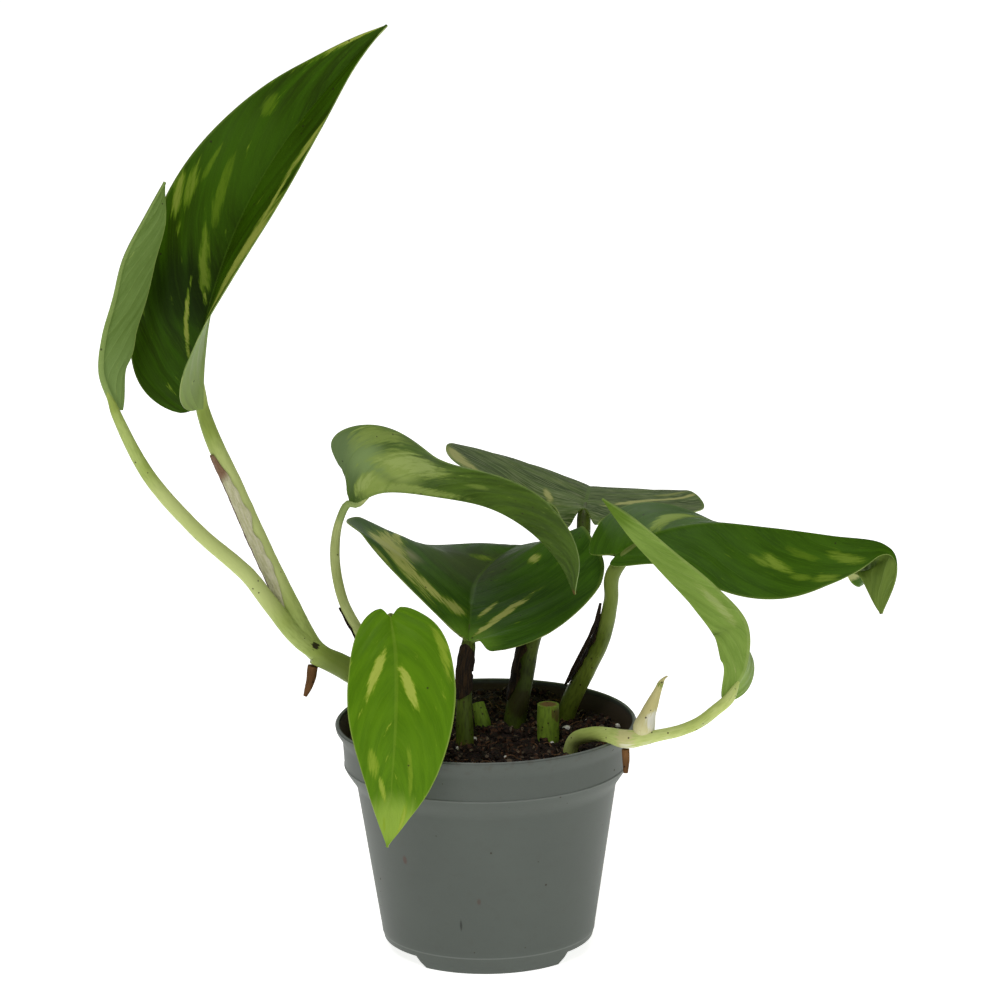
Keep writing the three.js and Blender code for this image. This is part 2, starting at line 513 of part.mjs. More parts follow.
function build() {
  add('pot', potGeometry(), COLOURS.pot, 0.55);

  const inSoil = [ROUTES.leftStem, ROUTES.archingPetiole, ROUTES.frontPetiole, ROUTES.centreStem,
    ROUTES.backStem, ROUTES.rightStem, ROUTES.runner, ...Object.values(STUBS)];
  add('soil', soilGeometry(inSoil.map(holeTool)), COLOURS.soil, 0.95);

  for (const [name, leaf] of Object.entries(LEAVES)) add(name, bladeGeometry(leaf), leaf.colour, 0.4);

  add('stem_left', joined([tube(ROUTES.leftStem), tube(ROUTES.tallPetiole), tube(ROUTES.narrowPetiole)]),
    COLOURS.stem, 0.45);
  add('petiole_arching', tube(ROUTES.archingPetiole), COLOURS.stem, 0.45);
  add('petiole_front', tube(ROUTES.frontPetiole), COLOURS.stem, 0.45);
  add('stem_centre', tube(ROUTES.centreStem), COLOURS.darkStem, 0.5);
  add('stem_back', tube(ROUTES.backStem), COLOURS.darkStem, 0.5);
  add('stem_right', tube(ROUTES.rightStem), COLOURS.stem, 0.45);
  add('runner', tube(ROUTES.runner), COLOURS.runner, 0.45);
  add('shoot', tube(SHOOT, 8), COLOURS.shoot, 0.5);
  for (const [name, route] of Object.entries(STUBS)) add(name, tube(route, 4), COLOURS.stump, 0.6);
  for (const [name, route] of Object.entries(ROOTS)) add(name, tube(route, 5), COLOURS.root, 0.8);
  for (const [name, { route, along, angles, thickness, dry }] of Object.entries(SHEATHS)) {
    const strip = sweep(route, shell(...angles, thickness), 7, ...along);
    add(name, strip, dry ? COLOURS.drySheath : COLOURS.sheath, 0.85);
  }
  add('fibre_right', tube(FIBRE, 8), COLOURS.drySheath, 0.9);
}

build();

export default plant;
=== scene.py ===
"""A pothos plant in a round nursery pot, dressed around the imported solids.

The tables are in millimetres and degrees, in the solids' frame: +Z up, the plant's front towards -Y.
A colour is written as the six hexadecimal digits that a screen shows.
"""
import math
import random

import bmesh
import bpy
import numpy as np
from mathutils import Matrix, Vector, noise


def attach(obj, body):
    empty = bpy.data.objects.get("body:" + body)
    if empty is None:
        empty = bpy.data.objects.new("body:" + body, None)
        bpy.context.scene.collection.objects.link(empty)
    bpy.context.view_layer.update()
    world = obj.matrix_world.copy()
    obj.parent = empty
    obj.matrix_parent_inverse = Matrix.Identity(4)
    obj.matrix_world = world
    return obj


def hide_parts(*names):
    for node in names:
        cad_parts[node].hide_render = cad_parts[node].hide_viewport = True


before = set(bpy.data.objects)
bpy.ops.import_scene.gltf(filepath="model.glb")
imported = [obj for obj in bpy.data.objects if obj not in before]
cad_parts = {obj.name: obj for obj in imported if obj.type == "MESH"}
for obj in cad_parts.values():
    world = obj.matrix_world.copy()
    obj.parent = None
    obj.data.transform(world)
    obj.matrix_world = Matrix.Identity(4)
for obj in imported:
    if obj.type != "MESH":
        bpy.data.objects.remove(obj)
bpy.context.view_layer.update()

MM = 0.001
BLADE = 0.8                 # thickness of a leaf's solid
CLEARANCE = 0.35            # between a petiole's solid and the leaf that it carries
VEINS = 9                   # side veins on each half of a leaf
VEIN_SWEEP = 0.27           # how far a side vein runs forward on its way to the margin
VEIN_BEND = 1.3             # and how much it bends on that way
SOIL_LEVEL = 85
MAP_LENGTH = 30             # length of stem that one unit of its map covers
DOUBLES = 1e-6              # vertices this close, in metres, are one
SEED = 11
random.seed(SEED)
noise.seed_set(SEED)


# ---- Camera, light and floor ------------------------------------------------------------------

CAMERA_PLACE = (0.00681, -2.39706, 0.80296)
CAMERA_PITCH, CAMERA_ROLL = math.radians(14.4986), math.radians(0.75)
CAMERA_LENS, CAMERA_SENSOR, CAMERA_REACH = 226.125, 36, 50
WORLD_STRENGTH = 0.17
FLOOR_HALF = 6
LIGHTS_AIM = Vector((0, 0, 0.15))
# Each soft light's place in metres, its size and its power.
LIGHTS = {
    "key": ((-0.5, -1.0, 1.9), 1.2, 14.5),
    "fill": ((1.3, -1.9, 1.0), 1.2, 6.5),
    "back": ((0.2, 1.3, 1.5), 1.4, 11),
}


def make_camera():
    """The photograph's view: a long lens about 2.5 m away, looking down on the plant, rolled a little."""
    ahead = Vector((0, math.cos(CAMERA_PITCH), -math.sin(CAMERA_PITCH)))
    level = Vector((1, 0, 0))
    up = level.cross(ahead)
    right = level * math.cos(CAMERA_ROLL) - up * math.sin(CAMERA_ROLL)
    up = up * math.cos(CAMERA_ROLL) + level * math.sin(CAMERA_ROLL)
    data = bpy.data.cameras.new("camera")
    data.sensor_width, data.lens, data.clip_end = CAMERA_SENSOR, CAMERA_LENS, CAMERA_REACH
    camera = bpy.data.objects.new("camera", data)
    turn = Matrix((right, up, -ahead)).transposed().to_4x4()
    camera.matrix_world = Matrix.Translation(CAMERA_PLACE) @ turn
    bpy.context.collection.objects.link(camera)
    bpy.context.scene.camera = camera


def make_light(name, place, size, power):
    """A soft round lamp that looks at the plant."""
    data = bpy.data.lights.new(name, "AREA")
    data.shape, data.size, data.energy = "DISK", size, power
    light = bpy.data.objects.new(name, data)
    turn = (LIGHTS_AIM - Vector(place)).to_track_quat("-Z", "Y").to_matrix().to_4x4()
    light.matrix_world = Matrix.Translation(place) @ turn
    bpy.context.collection.objects.link(light)


def make_stage():
    """A pale studio: soft light from all round, three lamps and a floor."""
    bpy.context.scene.view_settings.view_transform = "Standard"
    world = bpy.data.worlds.new("studio")
    bpy.context.scene.world = world
    world.use_nodes = True
    background = world.node_tree.nodes["Background"].inputs
    background["Color"].default_value = (1, 1, 1, 1)
    background["Strength"].default_value = WORLD_STRENGTH
    for name, (place, size, power) in LIGHTS.items():
        make_light(name, place, size, power)
    bm = bmesh.new()
    bmesh.ops.create_grid(bm, x_segments=2, y_segments=2, size=FLOOR_HALF)
    object_of("floor", bm, [floor_material()])


# ---- Node trees -------------------------------------------------------------------------------

def rgb(code):
    """A colour written as six hexadecimal digits, made linear."""
    parts = [int(code[i:i + 2], 16) / 255 for i in (0, 2, 4)]
    return tuple(c / 12.92 if c <= 0.04045 else ((c + 0.055) / 1.055) ** 2.4 for c in parts) + (1,)


class Tree:
    """Places nodes in a tree and links them. A value is a socket, a number, a vector or a colour code."""

    def __init__(self, tree):
        self.tree = tree

    def put(self, kind, values=(), **settings):
        node = self.tree.nodes.new("ShaderNode" + kind)
        for key, value in settings.items():
            setattr(node, key, value)
        for key, value in dict(values).items():
            self.feed(node.inputs[key], value)
        return node

    def feed(self, socket, value):
        if isinstance(value, bpy.types.NodeSocket):
            self.tree.links.new(value, socket)
        elif value is not None:
            socket.default_value = rgb(value) if isinstance(value, str) else value

    def math(self, operation, a, b=None, c=None):
        return self.put("Math", {0: a, 1: b, 2: c}, operation=operation).outputs[0]

    def add(self, a, b):
        return self.math("ADD", a, b)

    def times(self, a, b):
        return self.math("MULTIPLY", a, b)

    def scaled(self, value, by, plus):
        return self.math("MULTIPLY_ADD", value, by, plus)

    def most(self, a, b):
        return self.math("MAXIMUM", a, b)

    def step(self, value, low, high):
        """0 below low, 1 above high, smooth between. With low above high it falls instead."""
        if low > high:
            return self.math("SUBTRACT", 1.0, self.step(value, high, low))
        limits = {"Value": value, "From Min": low, "From Max": high}
        return self.put("MapRange", limits, interpolation_type="SMOOTHSTEP").outputs["Result"]

    def band(self, value, rise, fall):
        """1 between a rise and a fall, each given by its start and end."""
        return self.times(self.step(value, *rise), self.step(value, *reversed(fall)))

    def noise(self, vector, scale, detail=2.0, roughness=0.5):
        values = {"Vector": vector, "Scale": scale, "Detail": detail, "Roughness": roughness}
        return self.put("TexNoise", values).outputs["Fac"]

    def cells(self, vector, scale):
        return self.put("TexVoronoi", {"Vector": vector, "Scale": scale}).outputs

    def distance(self, place, centre):
        return self.put("VectorMath", {0: place, 1: centre}, operation="DISTANCE").outputs["Value"]

    def mix(self, factor, a, b):
        node = self.put("Mix", data_type="RGBA")
        for index, value in ((0, factor), (6, a), (7, b)):
            self.feed(node.inputs[index], value)
        return node.outputs[2]

    def cover(self, colour, shade, mask, share):
        """Lays a shade over a colour where the mask says, up to a share."""
        return self.mix(self.times(mask, share), colour, shade)

    def vector(self, x, y, z=0.0):
        return self.put("CombineXYZ", {0: x, 1: y, 2: z}).outputs[0]

    def split(self, vector):
        return self.put("SeparateXYZ", {0: vector}).outputs

    def uv(self, name):
        return self.put("UVMap", uv_map=name).outputs[0]

    def group(self, name, **values):
        node = self.put("Group", node_tree=bpy.data.node_groups[name])
        for key, value in values.items():
            self.feed(node.inputs[key], value)
        return node.outputs

    def bump(self, height, distance, strength):
        """The normal of a height that reaches a distance in metres."""
        values = {"Height": height, "Distance": distance, "Strength": strength}
        return self.put("Bump", values).outputs["Normal"]


def new_group(name, inputs, outputs):
    """A node group. Inputs are name: starting value, outputs are names of plain values."""
    tree = bpy.data.node_groups.new(name, "ShaderNodeTree")
    for key, value in inputs.items():
        kind = "NodeSocketVector" if isinstance(value, tuple) else "NodeSocketFloat"
        socket = tree.interface.new_socket(name=key, in_out="INPUT", socket_type=kind)
        socket.default_value = value
    for key in outputs:
        tree.interface.new_socket(name=key, in_out="OUTPUT", socket_type="NodeSocketFloat")
    start = tree.nodes.new("NodeGroupInput").outputs
    end = tree.nodes.new("NodeGroupOutput").inputs
    return Tree(tree), start, end


def new_material(name, roughness, constants=()):
    """A material with its shader. Constants are set on the shader's own sockets."""
    material = bpy.data.materials.new(name)
    material.use_nodes = True
    shader = material.node_tree.nodes["Principled BSDF"].inputs
    shader["Roughness"].default_value = roughness
    for key, value in dict(constants).items():
        shader[key].default_value = value
    return material, Tree(material.node_tree), shader


def finish_material(tree, shader, colour, roughness, height, relief):
    """Feeds a shader its colour, its roughness and the normal of a height of (distance, strength)."""
    tree.feed(shader["Base Color"], colour)
    tree.feed(shader["Roughness"], roughness)
    tree.feed(shader["Normal"], tree.bump(height, *relief))


def object_space(tree):
    """Object coordinates in millimetres."""
    place = tree.put("TexCoord").outputs["Object"]
    return tree.put("Mapping", {"Vector": place, "Scale": (1 / MM, 1 / MM, 1 / MM)}).outputs[0]


# ---- Shared effects ---------------------------------------------------------------------------

def make_leaf_space():
    """From a leaf's map: the place along it, across it (-1 to 1), how far out, and on which side vein."""
    tree, start, end = new_group("leaf_space", {"Map": (0.0, 0.0, 0.0), "Waver": 0.02},
                                 ["Along", "Across", "Reach", "Vein"])
    along, v, _ = tree.split(start["Map"])
    across = tree.scaled(v, 2.0, -1.0)
    reach = tree.math("ABSOLUTE", across)
    waver = tree.noise(tree.vector(along, across), 5.0, 1.0)
    waver = tree.times(tree.math("SUBTRACT", waver, 0.5), start["Waver"])
    run = tree.times(tree.math("POWER", reach, VEIN_BEND), VEIN_SWEEP)
    vein = tree.add(tree.math("SUBTRACT", along, run), waver)
    for key, value in (("Along", along), ("Across", across), ("Reach", reach), ("Vein", vein)):
        tree.feed(end[key], value)


def make_vein_lines():
    """Midrib, side veins and the fine grain between them, as masks from 0 to 1."""
    inputs = {"Along": 0.0, "Across": 0.0, "Reach": 0.0, "Vein": 0.0, "Width": 30.0}
    tree, start, end = new_group("vein_lines", inputs, ["Midrib", "Side veins", "Grain"])
    from_midrib = tree.times(start["Reach"], start["Width"])
    half_rib = tree.scaled(start["Along"], -0.55, 0.8)
    limits = {"Value": from_midrib, "From Min": half_rib, "From Max": tree.times(half_rib, 1.8),
              "To Min": 1.0, "To Max": 0.0}
    rib = tree.put("MapRange", limits, interpolation_type="SMOOTHSTEP").outputs["Result"]
    tree.feed(end["Midrib"], rib)
    # The veins of the right half lie midway between those of the left.
    count = tree.scaled(tree.math("GREATER_THAN", start["Across"], 0.0), 0.5,
                        tree.times(start["Vein"], float(VEINS)))
    line = tree.step(tree.math("PINGPONG", count, 0.5), 0.07, 0.0)
    tree.feed(end["Side veins"], tree.times(line, tree.step(start["Reach"], 1.0, 0.55)))
    grain_at = tree.vector(tree.times(start["Vein"], 150.0), tree.times(start["Across"], 7.0))
    tree.feed(end["Grain"], tree.noise(grain_at, 1.0, 2.0))


def make_streak():
    """A pale patch drawn out between two places, with a ragged edge: mostly pale tissue, on leaf_drooping a
    painted highlight.
    """
    inputs = {"Vein": 0.0, "Across": 0.0, "Ragged": 0.5, "At Vein": 0.5, "At Across": 0.0, "Vein Slant": 0.0,
              "Across Slant": 0.0, "Half Width": 0.02, "Half Length": 0.2, "Strength": 1.0}
    tree, start, end = new_group("streak", inputs, ["Mask"])
    vein = tree.math("SUBTRACT", start["Vein"], start["At Vein"])
    across = tree.math("SUBTRACT", start["Across"], start["At Across"])
    x = tree.math("SUBTRACT", vein, tree.times(across, start["Vein Slant"]))
    y = tree.math("SUBTRACT", across, tree.times(vein, start["Across Slant"]))
    x = tree.math("DIVIDE", x, start["Half Width"])
    y = tree.math("DIVIDE", y, start["Half Length"])
    far = tree.add(tree.times(x, x), tree.times(y, y))
    far = tree.add(far, tree.scaled(start["Ragged"], 4.4, -2.2))
    tree.feed(end["Mask"], tree.times(tree.step(far, 1.9, 0.0), start["Strength"]))


def streak_facts(streak):
    """A streak runs from one (vein, across) to another, with a half thickness and a strength.

    The ragged edge eats into it, so it is drawn somewhat thicker and longer than it shows."""
    (vein, across), (to_vein, to_across), thick, strength = streak
    long, wide = to_vein - vein, to_across - across
    thick *= 1.5
    facts = {"At Vein": 0.5 * (vein + to_vein), "At Across": 0.5 * (across + to_across), "Strength": strength}
    if abs(wide) > abs(long):
        facts.update({"Vein Slant": long / wide, "Half Width": thick, "Half Length": 0.62 * abs(wide)})
    else:
        facts.update({"Across Slant": wide / long, "Half Width": 0.62 * abs(long), "Half Length": thick * 3})
    return facts


def make_specks():
    """Small scattered dots: cells of which a share carries one, as a mask from 0 to 1."""
    inputs = {"Place": (0.0, 0.0, 0.0), "Scale": 0.3, "Size": 0.2, "Share": 0.3}
    tree, start, end = new_group("specks", inputs, ["Mask"])
    cells = tree.cells(start["Place"], start["Scale"])
    near = tree.math("LESS_THAN", cells["Distance"], start["Size"])
    chosen = tree.math("LESS_THAN", tree.split(cells["Color"])[0], start["Share"])
    tree.feed(end["Mask"], tree.times(near, chosen))


# ---- Materials --------------------------------------------------------------------------------

SPECULAR = "Specular IOR Level"


def floor_material():
    """White paper lit through from below."""
    material, tree, shader = new_material("studio_floor", 0.9, {"Emission Strength": 0.86})
    tone = tree.noise(tree.put("TexCoord").outputs["Object"], 3.0)
    paper = tree.mix(tone, "f4f4f2", "f8f8f7")
    tree.feed(shader["Base Color"], paper)
    tree.feed(shader["Emission Color"], paper)
    return material


def leaf_material(name, leaf, side):
    """One side of a leaf. The upper side is glossy and streaked, the underside pale with raised veins."""
    looks = leaf.looks[side]
    material, tree, shader = new_material(name, looks["roughness"], {SPECULAR: looks["specular"]})
    space = tree.group("leaf_space", Map=tree.uv("leaf"))
    along, across, reach, vein = (space[key] for key in ("Along", "Across", "Reach", "Vein"))
    lines = tree.group("vein_lines", Along=along, Across=across, Reach=reach, Vein=vein,
                       Width=leaf.half_width)
    place = object_space(tree)

    def drawn_out(across_veins, along_veins, seed=0.0):
        """A place for a pattern that is fine across the side veins and long along them."""
        return tree.vector(tree.times(vein, across_veins), tree.times(across, along_veins), seed)

    # Broad zones between the veins, lighter and darker, the fine grain along them, and washes of colour; on
    # leaf_back the pale grain is painted sheen, and some washes are painted sheen.
    zones = tree.noise(drawn_out(16.0, 1.6), 1.0, 3.0)
    colour = tree.mix(tree.step(zones, 0.35, 0.68), looks["dark"], looks["light"])
    colour = tree.cover(colour, looks["grain"], tree.step(lines["Grain"], 0.45, 0.66), looks["grain_and_sheen_share"])
    for centre, radius, shade, share in leaf.washes.get(side, ()):
        away = tree.add(tree.distance(place, centre), tree.scaled(zones, 0.6 * radius, -0.3 * radius))
        colour = tree.cover(colour, shade, tree.step(away, radius, 0.3 * radius), share)

    # The variegation, and on leaf_drooping a painted highlight: streaks listed one by one, and a few left to
    # chance.
    ragged = tree.noise(drawn_out(60.0, 7.0, leaf.seed), 1.0, 5.0, 0.7)
    stray = tree.noise(drawn_out(26.0, 3.4, leaf.seed), 1.0, 4.0, 0.65)
    streaks = tree.times(tree.step(stray, 0.6, 0.76), 0.7)
    for streak in leaf.streaks:
        mask = tree.group("streak", Vein=vein, Across=across, Ragged=ragged, **streak_facts(streak))["Mask"]
        streaks = tree.most(streaks, mask)
    colour = tree.cover(colour, looks["streak"], tree.step(streaks, 0.02, 0.5), looks["streaks"])
    colour = tree.cover(colour, looks["cream"], tree.step(streaks, 0.35, 0.85), looks["streaks"])

    # Veins, margin, dried spots with a ragged edge, and specks.
    colour = tree.cover(colour, looks["vein"], lines["Side veins"], looks["vein_share"])
    colour = tree.cover(colour, looks["rib"], lines["Midrib"], looks["rib_share"])
    colour = tree.cover(colour, looks["edge"], tree.step(reach, 0.965, 0.99), 0.5)
    for spot, radius, shade in leaf.spots.get(side, ()):
        away = tree.add(tree.distance(place, spot), tree.scaled(tree.noise(place, 0.9, 3.0), 3.0, -1.5))
        colour = tree.mix(tree.step(away, radius, radius * 0.7), colour, shade)
    specks = tree.group("specks", Place=place, Scale=0.16, Size=0.075, Share=0.5)["Mask"]
    colour = tree.cover(colour, "2a2415", specks, 0.75)

    rough = tree.scaled(tree.noise(place, 0.11, 3.0), 0.16, looks["roughness"] - 0.08)
    veins = tree.scaled(lines["Side veins"], looks["vein_rise"], tree.times(lines["Grain"], 0.35))
    skin = tree.scaled(tree.noise(place, 1.6, 2.0), 0.15, veins)
    finish_material(tree, shader, colour, rough, skin, (0.00035, looks["relief"]))
    return material


def rim_material(name, colour, other):
    """The cut edge between a leaf's two sides."""
    material, tree, shader = new_material(name, 0.5)
    tone = tree.noise(object_space(tree), 0.2, 2.0)
    tree.feed(shader["Base Color"], tree.mix(tree.step(tone, 0.4, 0.65), colour, other))
    return material


def stem_material(name, colours, speck_share, tints=(), speck_colour="33270f", roughness=0.42):
    """A stem or petiole: faint fibres along it, paler and darker lengths, and dark corky specks."""
    base, light, dark = colours
    material, tree, shader = new_material(name, roughness, {SPECULAR: 0.16})
    place = object_space(tree)
    along, around, _ = tree.split(tree.uv("stem"))
    broad = tree.noise(place, 0.06, 3.0)
    fibre = tree.noise(tree.vector(tree.times(around, 26.0), tree.times(along, 7.0)), 1.0, 3.0)
    colour = tree.mix(tree.step(broad, 0.36, 0.62), base, light)
    colour = tree.cover(colour, dark, tree.step(fibre, 0.42, 0.72), 0.5)
    for centre, radius, shade, share in tints:
        away = tree.add(tree.distance(place, centre), tree.scaled(fibre, 6.0, -3.0))
        colour = tree.cover(colour, shade, tree.step(away, radius, radius * 0.6), share)
    specks = tree.group("specks", Place=place, Scale=0.45, Size=0.17, Share=speck_share)["Mask"]
    colour = tree.cover(colour, speck_colour, specks, 0.85)
    rough = tree.scaled(fibre, 0.2, roughness - 0.08)
    height = tree.add(tree.times(fibre, 0.5), tree.times(specks, 0.5))
    finish_material(tree, shader, colour, rough, height, (0.00025, 0.6))
    return material


def dry_material(name, dark, light, roughness=0.8, margin=(0, "2a1a12"), crumb_share=0.6, tip=None):
    """Dead papery tissue: streaked lengthwise, with crumbs, a dark margin and perhaps a dried tip."""
    material, tree, shader = new_material(name, roughness, {SPECULAR: 0.2})
    place = object_space(tree)
    along, around, _ = tree.split(tree.uv("stem"))
    fibre = tree.noise(tree.vector(tree.times(around, 40.0), tree.times(along, 5.0)), 1.0, 4.0)
    crumbs = tree.noise(place, 0.9, 3.0)
    colour = tree.mix(tree.step(fibre, 0.38, 0.66), dark, light)
    colour = tree.cover(colour, "1b120c", tree.step(crumbs, 0.6, 0.68), crumb_share)
    margin_at, margin_colour = margin
    ragged = tree.scaled(crumbs, 0.06, around)
    colour = tree.mix(tree.step(ragged, margin_at + 0.03, margin_at), colour, margin_colour)
    if tip:
        centre, radius, shade = tip
        near = tree.step(tree.distance(place, centre), radius, 0.5 * radius)
        colour = tree.cover(colour, shade, near, 0.85)
    rough = tree.scaled(crumbs, 0.2, roughness - 0.1)
    finish_material(tree, shader, colour, rough, tree.add(fibre, crumbs), (0.0004, 0.8))
    return material


def pot_material():
    """Satin grey moulded plastic: faint turning marks, fine grain, a little soil dust and scuffs."""
    material, tree, shader = new_material("pot_plastic", 0.5, {SPECULAR: 0.12})
    place = object_space(tree)
    x, y, z = tree.split(place)
    cloud = tree.noise(place, 0.03, 3.0)
    grain = tree.noise(place, 3.0, 2.0)
    rings = tree.noise(tree.vector(0.0, 0.0, z), 1.3, 3.0)
    colour = tree.cover(tree.mix(cloud, "545954", "5c625c"), "6c716b", grain, 0.12)
    dust = tree.group("specks", Place=place, Scale=0.14, Size=0.065, Share=0.35)["Mask"]
    dust = tree.most(dust, tree.group("specks", Place=place, Scale=0.35, Size=0.09, Share=0.05)["Mask"])
    colour = tree.cover(colour, "3d342b", dust, 0.7)

    # Painted highlights on the lip under the collar and round the mouth, and a light line in the crease above
    # the foot.
    lip = tree.band(z, (75.4, 75.8), (76.0, 76.4))
    crease = tree.band(z, (6.5, 6.8), (7.1, 7.4))
    mouth = tree.times(tree.step(z, 92.3, 92.8), 1.3)
    colour = tree.cover(colour, "8d928c", tree.most(tree.most(lip, crease), mouth), 0.28)
    for centre, size, squash, shade in POT_MARKS:
        spot = tuple(value * share for value, share in zip(centre, (1, 1, squash)))
        away = tree.distance(tree.vector(x, y, tree.times(z, squash)), spot)
        away = tree.add(away, tree.times(grain, 0.5))
        colour = tree.cover(colour, shade, tree.step(away, size + 0.25, size * 0.5 + 0.1), 0.7)

    # A film of dust, more of it on the rim, and the inner wall above the soil made dark brown.
    dusty = tree.scaled(tree.step(z, 84.0, 92.0), 0.3, 0.06)
    colour = tree.cover(colour, "4b4137", tree.step(tree.noise(place, 0.25, 4.0), 0.5, 0.75), dusty)
    radius = tree.math("SQRT", tree.scaled(x, x, tree.times(y, y)))
    inner_wall = tree.scaled(tree.math("SUBTRACT", z, 85.0), 0.42, 56.5)
    inside = tree.times(tree.math("LESS_THAN", radius, inner_wall), tree.step(z, 92.0, 90.5))
    colour = tree.cover(colour, "3b2b1b", inside, 0.85)

    rough = tree.scaled(dust, 0.3, tree.scaled(cloud, 0.12, 0.41))
    height = tree.scaled(grain, 0.25, tree.times(rings, 0.5))
    finish_material(tree, shader, colour, rough, height, (0.0002, 0.35))
    return material


def soil_material(name, dark, brown, crumb_scale):
    """Moist peat: nearly black crumbs, red-brown fibres and pale bits."""
    material, tree, shader = new_material(name, 0.9, {SPECULAR: 0.25})
    place = object_space(tree)
    crumbs = tree.noise(place, crumb_scale, 5.0, 0.65)
    colour = tree.mix(tree.step(crumbs, 0.42, 0.62), dark, brown)
    cells = tree.cells(place, 0.8)
    chance = tree.split(cells["Color"])
    colour = tree.cover(colour, "5a3a26", tree.math("GREATER_THAN", chance[0], 0.82), 0.6)
    colour = tree.cover(colour, "80705c", tree.math("GREATER_THAN", chance[1], 0.94), 0.6)
    height = tree.add(crumbs, cells["Distance"])
    finish_material(tree, shader, colour, tree.scaled(crumbs, 0.3, 0.65), height, (0.0012, 0.9))
    return material


def perlite_material():
    """Expanded perlite: white, porous, with a trace of soil."""
    material, tree, shader = new_material("perlite", 0.85)
    place = object_space(tree)
    pores = tree.cells(place, 1.6)["Distance"]
    stain = tree.noise(place, 0.5, 3.0)
    colour = tree.mix(tree.step(stain, 0.5, 0.7), "e2dfd6", "b5a78f")
    colour = tree.cover(colour, "a9a293", tree.step(pores, 0.25, 0.05), 0.4)
    finish_material(tree, shader, colour, tree.scaled(stain, 0.15, 0.75), pores, (0.0004, 0.7))
    return material


# ---- Meshes -----------------------------------------------------------------------------------

def object_of(name, bm, materials, sharp_from=40):
    """Makes the object of a finished bmesh, in metres, smooth but for its sharp edges."""
    sharp = math.radians(sharp_from)
    for face in bm.faces:
        face.smooth = True
    for edge in bm.edges:
        edge.smooth = not (edge.is_manifold and edge.calc_face_angle(0) > sharp)
    mesh = bpy.data.meshes.new(name)
    bm.to_mesh(mesh)
    bm.free()
    for material in materials:
        mesh.materials.append(material)
    piece = bpy.data.objects.new(name, mesh)
    bpy.context.collection.objects.link(piece)
    return piece


def dress(piece, slot, *nodes):
    """Every piece rides on the one body and stands for its nodes. The slot is not used."""
    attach(piece, "root")
    if nodes:
        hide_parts(*nodes)
    return piece


def flat_grid(bm, columns, rows):
    """A grid to be bent: its vertices, and the place of each across it (-1 to 1) and along it (0 to 1)."""
    verts = bmesh.ops.create_grid(bm, x_segments=columns, y_segments=rows, size=1)["verts"]
    flat = np.array([vert.co[:2] for vert in verts])
    return verts, flat[:, 0], (flat[:, 1] + 1) / 2


def move_to(verts, places):
    """Puts vertices at places given in millimetres."""
    for vert, place in zip(verts, places * MM):
        vert.co = place


def lay_map(faces, layer, place_of):
    """Gives every corner of the faces its vertex's place on the piece's own map."""
    for face in faces:
        for loop in face.loops:
            loop[layer].uv = place_of[loop.vert]


def smooth(values, u):
    """Catmull-Rom through equally spaced values, at an array of u from 0 to 1; before 0 it runs straight."""
    values = np.asarray(values, float)
    u = np.asarray(u, float)
    last = len(values) - 1
    padded = np.concatenate([2 * values[:1] - values[1:2], values, 2 * values[-1:] - values[-2:-1]])
    place = np.clip(u, 0, 1) * last
    i = np.minimum(place.astype(int), last - 1)
    t = place - i
    if values.ndim > 1:
        t, u = t[..., None], u[..., None]
    a, b, c, d = (padded[i + k] for k in range(4))
    curve = b + 0.5 * t * (c - a + t * (2 * a - 5 * b + 4 * c - d + t * (3 * (b - c) + d - a)))
    return np.where(u < 0, values[0] + u * last * (values[1] - values[0]), curve)


def unit(vectors):
    return vectors / np.linalg.norm(vectors, axis=-1, keepdims=True)


def across_of(vectors, normal):
    """What is left of each vector across the normal, as a unit vector."""
    return unit(vectors - np.sum(vectors * normal, axis=-1, keepdims=True) * normal)


# ---- Leaves -----------------------------------------------------------------------------------
# A blade is a flat heart-shaped outline laid over a bent midrib. Each row of a leaf gives a point of
# the midrib, where the glossy upper side looks, and for the left and the right half its full width,
# the angle by which it is folded up from the midrib, and the angle by which it curls on to its edge.
#
# A streak runs from one (vein, across) to another, with a half thickness and a strength. A wash has a
# centre, a radius, a colour and a share, and a spot the first three. A bend moves the blade round one
# (along, across), over a spread, by a shift.

# How the two sides of a leaf look, where its row in the table doesn't say otherwise.
UPPER = {"roughness": 0.42, "specular": 0.07, "relief": 0.5, "dark": "293f02", "light": "365804",
         "grain": "3c5f06", "grain_and_sheen_share": 0.35, "streak": "5f7d16", "cream": "a2ab4c", "streaks": 0.9,
         "vein": "41650f", "vein_share": 0.1, "vein_rise": -0.15, "rib": "5b7c22", "rib_share": 0.3,
         "edge": "6c8434"}
UNDER = {"roughness": 0.5, "specular": 0.12, "relief": 0.5, "dark": "6b8437", "light": "7e9a46",
         "grain": "859f52", "grain_and_sheen_share": 0.35, "streak": "8fa353", "cream": "a9b676", "streaks": 0.8,
         "vein": "93a95c", "vein_share": 0.2, "vein_rise": 0.3, "rib": "9aad62", "rib_share": 0.35,
         "edge": "8fa053"}
WIDEST = 0.28                           # where along it a leaf's outline is widest
BLADE_ROWS, BLADE_COLUMNS = 130, 64
ROWS_TO_BASE = 1.2                      # above 1, the rows crowd towards the base


